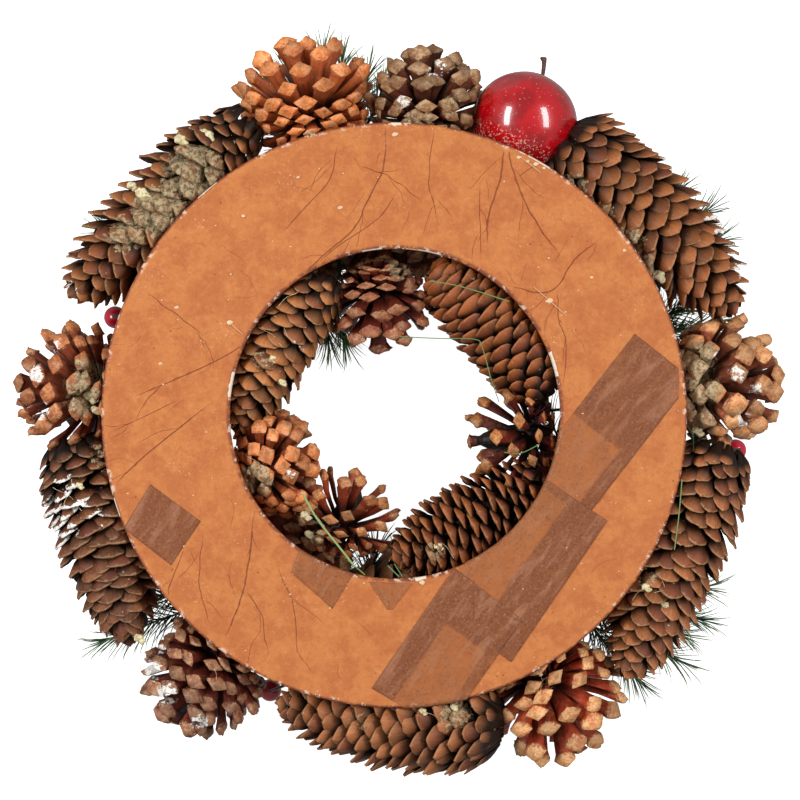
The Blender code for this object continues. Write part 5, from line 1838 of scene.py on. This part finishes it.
# Loose strips: points as x, y and depth below the back in mm, then the thickness and how
# pale the green is.
STRANDS = {
    4: [([(150.8, -6, 6), (153.5, -11, 5), (154.4, -19, 9)], 0.35, 0)],
    5: [([(147.2, -34, 1), (145.5, -52, 0.8), (143.1, -70, 1)], 0.3, 0.8)],
    6: [([(-47.4, -41, 2), (-40, -54, 0.5), (-29, -68, 0.5), (-20.7, -78.5, 1)], 0.6, 0.95),
        ([(-24.3, -75, 1), (-15.6, -82.5, 0.8)], 0.35, 0.8),
        ([(-3.8, -78, 2), (1.8, -83.5, 0.8)], 0.3, 0.8),
        ([(-0.5, -77, 2), (3.6, -83.5, 0.8)], 0.3, 0.7)],
    9: [([(17.7, 68, 1), (34, 65, 0.5), (58.6, 57.5, 0.6)], 0.3, 0.8),
        ([(2.3, 39.4, 3), (22, 38.5, 2), (40.5, 38, 1), (44.5, 34, 1), (49.4, 17, 2),
          (53.5, 6, 5)], 0.26, 0.75)],
    10: [([(56, -20, 3), (64, -20.5, 2), (74, -16, 3)], 0.3, 0.75)],
}
needle_pattern = put_in_scene("needle_pattern", one_needle())
green = pine_green()
for sprig in SPRIGS:
    shoots = []
    for k, (swing, reach) in enumerate(sprig.tips):
        shoots += build_shoot(sprig, k, swing, reach)
    loose = [strand(*given) for given in STRANDS.get(sprig.number, [])]
    mesh = joined("sprig", shoots + loose)
    add_piece(f"pine_sprig_needles_{sprig.number}", mesh, green, "needle", f"pine_sprig_{sprig.number}")
    print("sprig", sprig.number, len(mesh.polygons), "faces")

# %% [markdown]
# ## Berries
# Each berry is a glossy ball on a thin wire, with a small dark star where its flower was.

# %% Make the berries
# The wire's angle round the ring and where it leaves the ring's section, both in degrees,
# then how far the berry swings aside, its distance from the centre and its height in mm.
Berry = namedtuple("Berry", "number angle leaves swing reach height")
BERRIES = [Berry(*row) for row in [
    (1, 160, 67.5, 0, 158, 27),
    (2, -5.5, 67.5, 0.5, 189, 12),
    (3, -101, 67.5, -13, 160, 14),
    (4, 2.5, 112.5, 0, 79, 30),
    (5, 107.2, 90, 0, 117, 9),
    (6, -12.6, 90, 0, 119, 9),
    (7, 139, 67.5, 0, 137, 9),
    (8, -133.3, 90, 0, 117, 9),
]]
BERRY_R = 6.0 * MM
BERRY_RINGS, BERRY_TURNS = 24, 36
CROWN = 0.1
NECK = 5 * MM
WIRE_R = 0.8 * MM


def build_berry(berry):
    """A ball whose bottom has a little crown, and the wire that holds it."""
    start = flank_point(berry.angle, berry.leaves, SEAT_GAP)
    centre = on_ring(berry.angle + berry.swing, berry.reach * MM, berry.height * MM)
    neck = centre + Vector((0, 0, BERRY_R + NECK))
    shares = np.linspace(0.0, math.pi, BERRY_RINGS + 2)[1:-1]
    turns = np.linspace(0.0, 2 * math.pi, BERRY_TURNS, endpoint=False)
    crown = CROWN * (1 - soft_step(shares, 0.12, 0.42))
    points = [(centre.x + BERRY_R * math.sin(s) * math.cos(t),
               centre.y + BERRY_R * math.sin(s) * math.sin(t),
               centre.z - BERRY_R * (math.cos(s) - c * (1 + 0.5 * math.cos(5 * t))))
              for s, c in zip(shares, crown) for t in turns]
    ball = face_outwards(mesh_from("ball", points, capped_faces(BERRY_RINGS, BERRY_TURNS)))
    away = (neck - start).normalized()
    bend = smooth_path([start, neck - away * 6 * MM, neck, centre + Vector((0, 0, BERRY_R * 0.9))], 4)
    wire = tube(bend, WIRE_R, 8)
    set_attribute(wire, "wire", 1.0)
    return joined("berry", [ball, wire])


def berry_skin():
    skin = Finish("berry_skin", 0.22, Coat_Weight=0.7, Coat_Roughness=0.08)
    cloud = skin.noise(5 * MM, 3.0)
    red = skin.mix(paint(206, 20, 48), paint(158, 6, 30), skin.step(cloud, 0.35, 0.65))
    skin.feed("Base Color", skin.mix(red, paint(58, 48, 32), skin.attribute("wire")))
    skin.feed("Roughness", 0.2 + 0.2 * cloud)
    return skin


berry_finish = berry_skin()
for berry in BERRIES:
    name = f"berry_{berry.number}"
    add_piece(name, build_berry(berry), berry_finish, "berry_skin", f"berry_pick_{berry.number}")
print("berries:", len(BERRIES))

# %% [markdown]
# ## Floor, light and camera
# The wreath lies on a plain white table that glows a little. Two tall softboxes stand at
# its left and right, and a pale world fills the shadows, so that the gaps between the
# scales stay dark. The camera looks straight down on the back, from a little towards the
# bottom left, with a long lens so that the ring stays round.

# %% Set the stage
FLOOR_HALF = 3.0
FLOOR_Z = -0.3 * MM
TARGET = Vector((0.85 * MM, 0.75 * MM, 88 * MM))
CAMERA_DISTANCE = 1.194
CAMERA_LEAN_DEG = (-2.0, -3.0)
LENS_MM, SENSOR_MM = 105.0, 36.0


def lay_floor():
    """A plain white sheet that glows, and neither lights the wreath nor shows in its gloss."""
    sides = ((-1, -1), (1, -1), (1, 1), (-1, 1))
    corners = [(x * FLOOR_HALF, y * FLOOR_HALF, FLOOR_Z) for x, y in sides]
    mesh = mesh_from("floor", corners, [(0, 1, 2, 3)], smooth=False)
    white = Finish("floor_white", 0.9, Base_Color=(0.5, 0.5, 0.5, 1.0),
                   Emission_Color=(1.0, 1.0, 1.0, 1.0), Emission_Strength=1.0)
    mesh.materials.append(white.material)
    floor = put_in_scene("floor", mesh)
    floor.visible_diffuse = False
    floor.visible_glossy = False


def hang_light(name, energy, size, place, target):
    """A rectangular softbox that faces a point."""
    data = bpy.data.lights.new(name, "AREA")
    data.energy = energy
    data.shape = "RECTANGLE"
    data.size, data.size_y = size
    light = put_in_scene(name, data)
    light.location = place
    light.rotation_euler = (target - Vector(place)).to_track_quat("-Z", "Y").to_euler()


def set_world(colour, strength):
    """An even light from all round."""
    world = bpy.data.worlds.new("studio")
    world.use_nodes = True
    background = world.node_tree.nodes["Background"]
    background.inputs["Color"].default_value = (*colour, 1.0)
    background.inputs["Strength"].default_value = strength
    bpy.context.scene.world = world


def place_camera():
    """A long lens over the back, leaning by the two angles from straight down."""
    lean_x, lean_y = (math.tan(math.radians(a)) for a in CAMERA_LEAN_DEG)
    away = Vector((lean_x, lean_y, 1.0)).normalized()
    data = bpy.data.cameras.new("camera")
    data.lens = LENS_MM
    data.sensor_width = SENSOR_MM
    camera = put_in_scene("camera", data)
    across = Vector((0, 1, 0)).cross(away).normalized()
    up = away.cross(across)
    turn = Matrix((across, up, away)).transposed().to_4x4()
    camera.matrix_world = Matrix.Translation(TARGET + away * CAMERA_DISTANCE) @ turn
    bpy.context.scene.camera = camera


lay_floor()
hang_light("left_softbox", 21.0, (1.15, 0.35), (-1.05, 0.25, 1.25), TARGET)
hang_light("right_softbox", 16.0, (1.15, 0.35), (1.05, 0.2, 1.25), TARGET)
set_world((1.0, 1.0, 1.0), 0.3)
place_camera()
bpy.context.scene.view_settings.view_transform = "Standard"
for made in (spruce_pattern, pine_pattern, needle_pattern):
    bpy.data.objects.remove(made)
print("stage set")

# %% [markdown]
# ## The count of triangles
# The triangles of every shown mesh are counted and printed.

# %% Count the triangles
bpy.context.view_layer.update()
shown = [made.data for made in bpy.data.objects if made.type == "MESH" and made.visible_get()]
print("triangles:", sum(len(face.vertices) - 2 for mesh in shown for face in mesh.polygons))
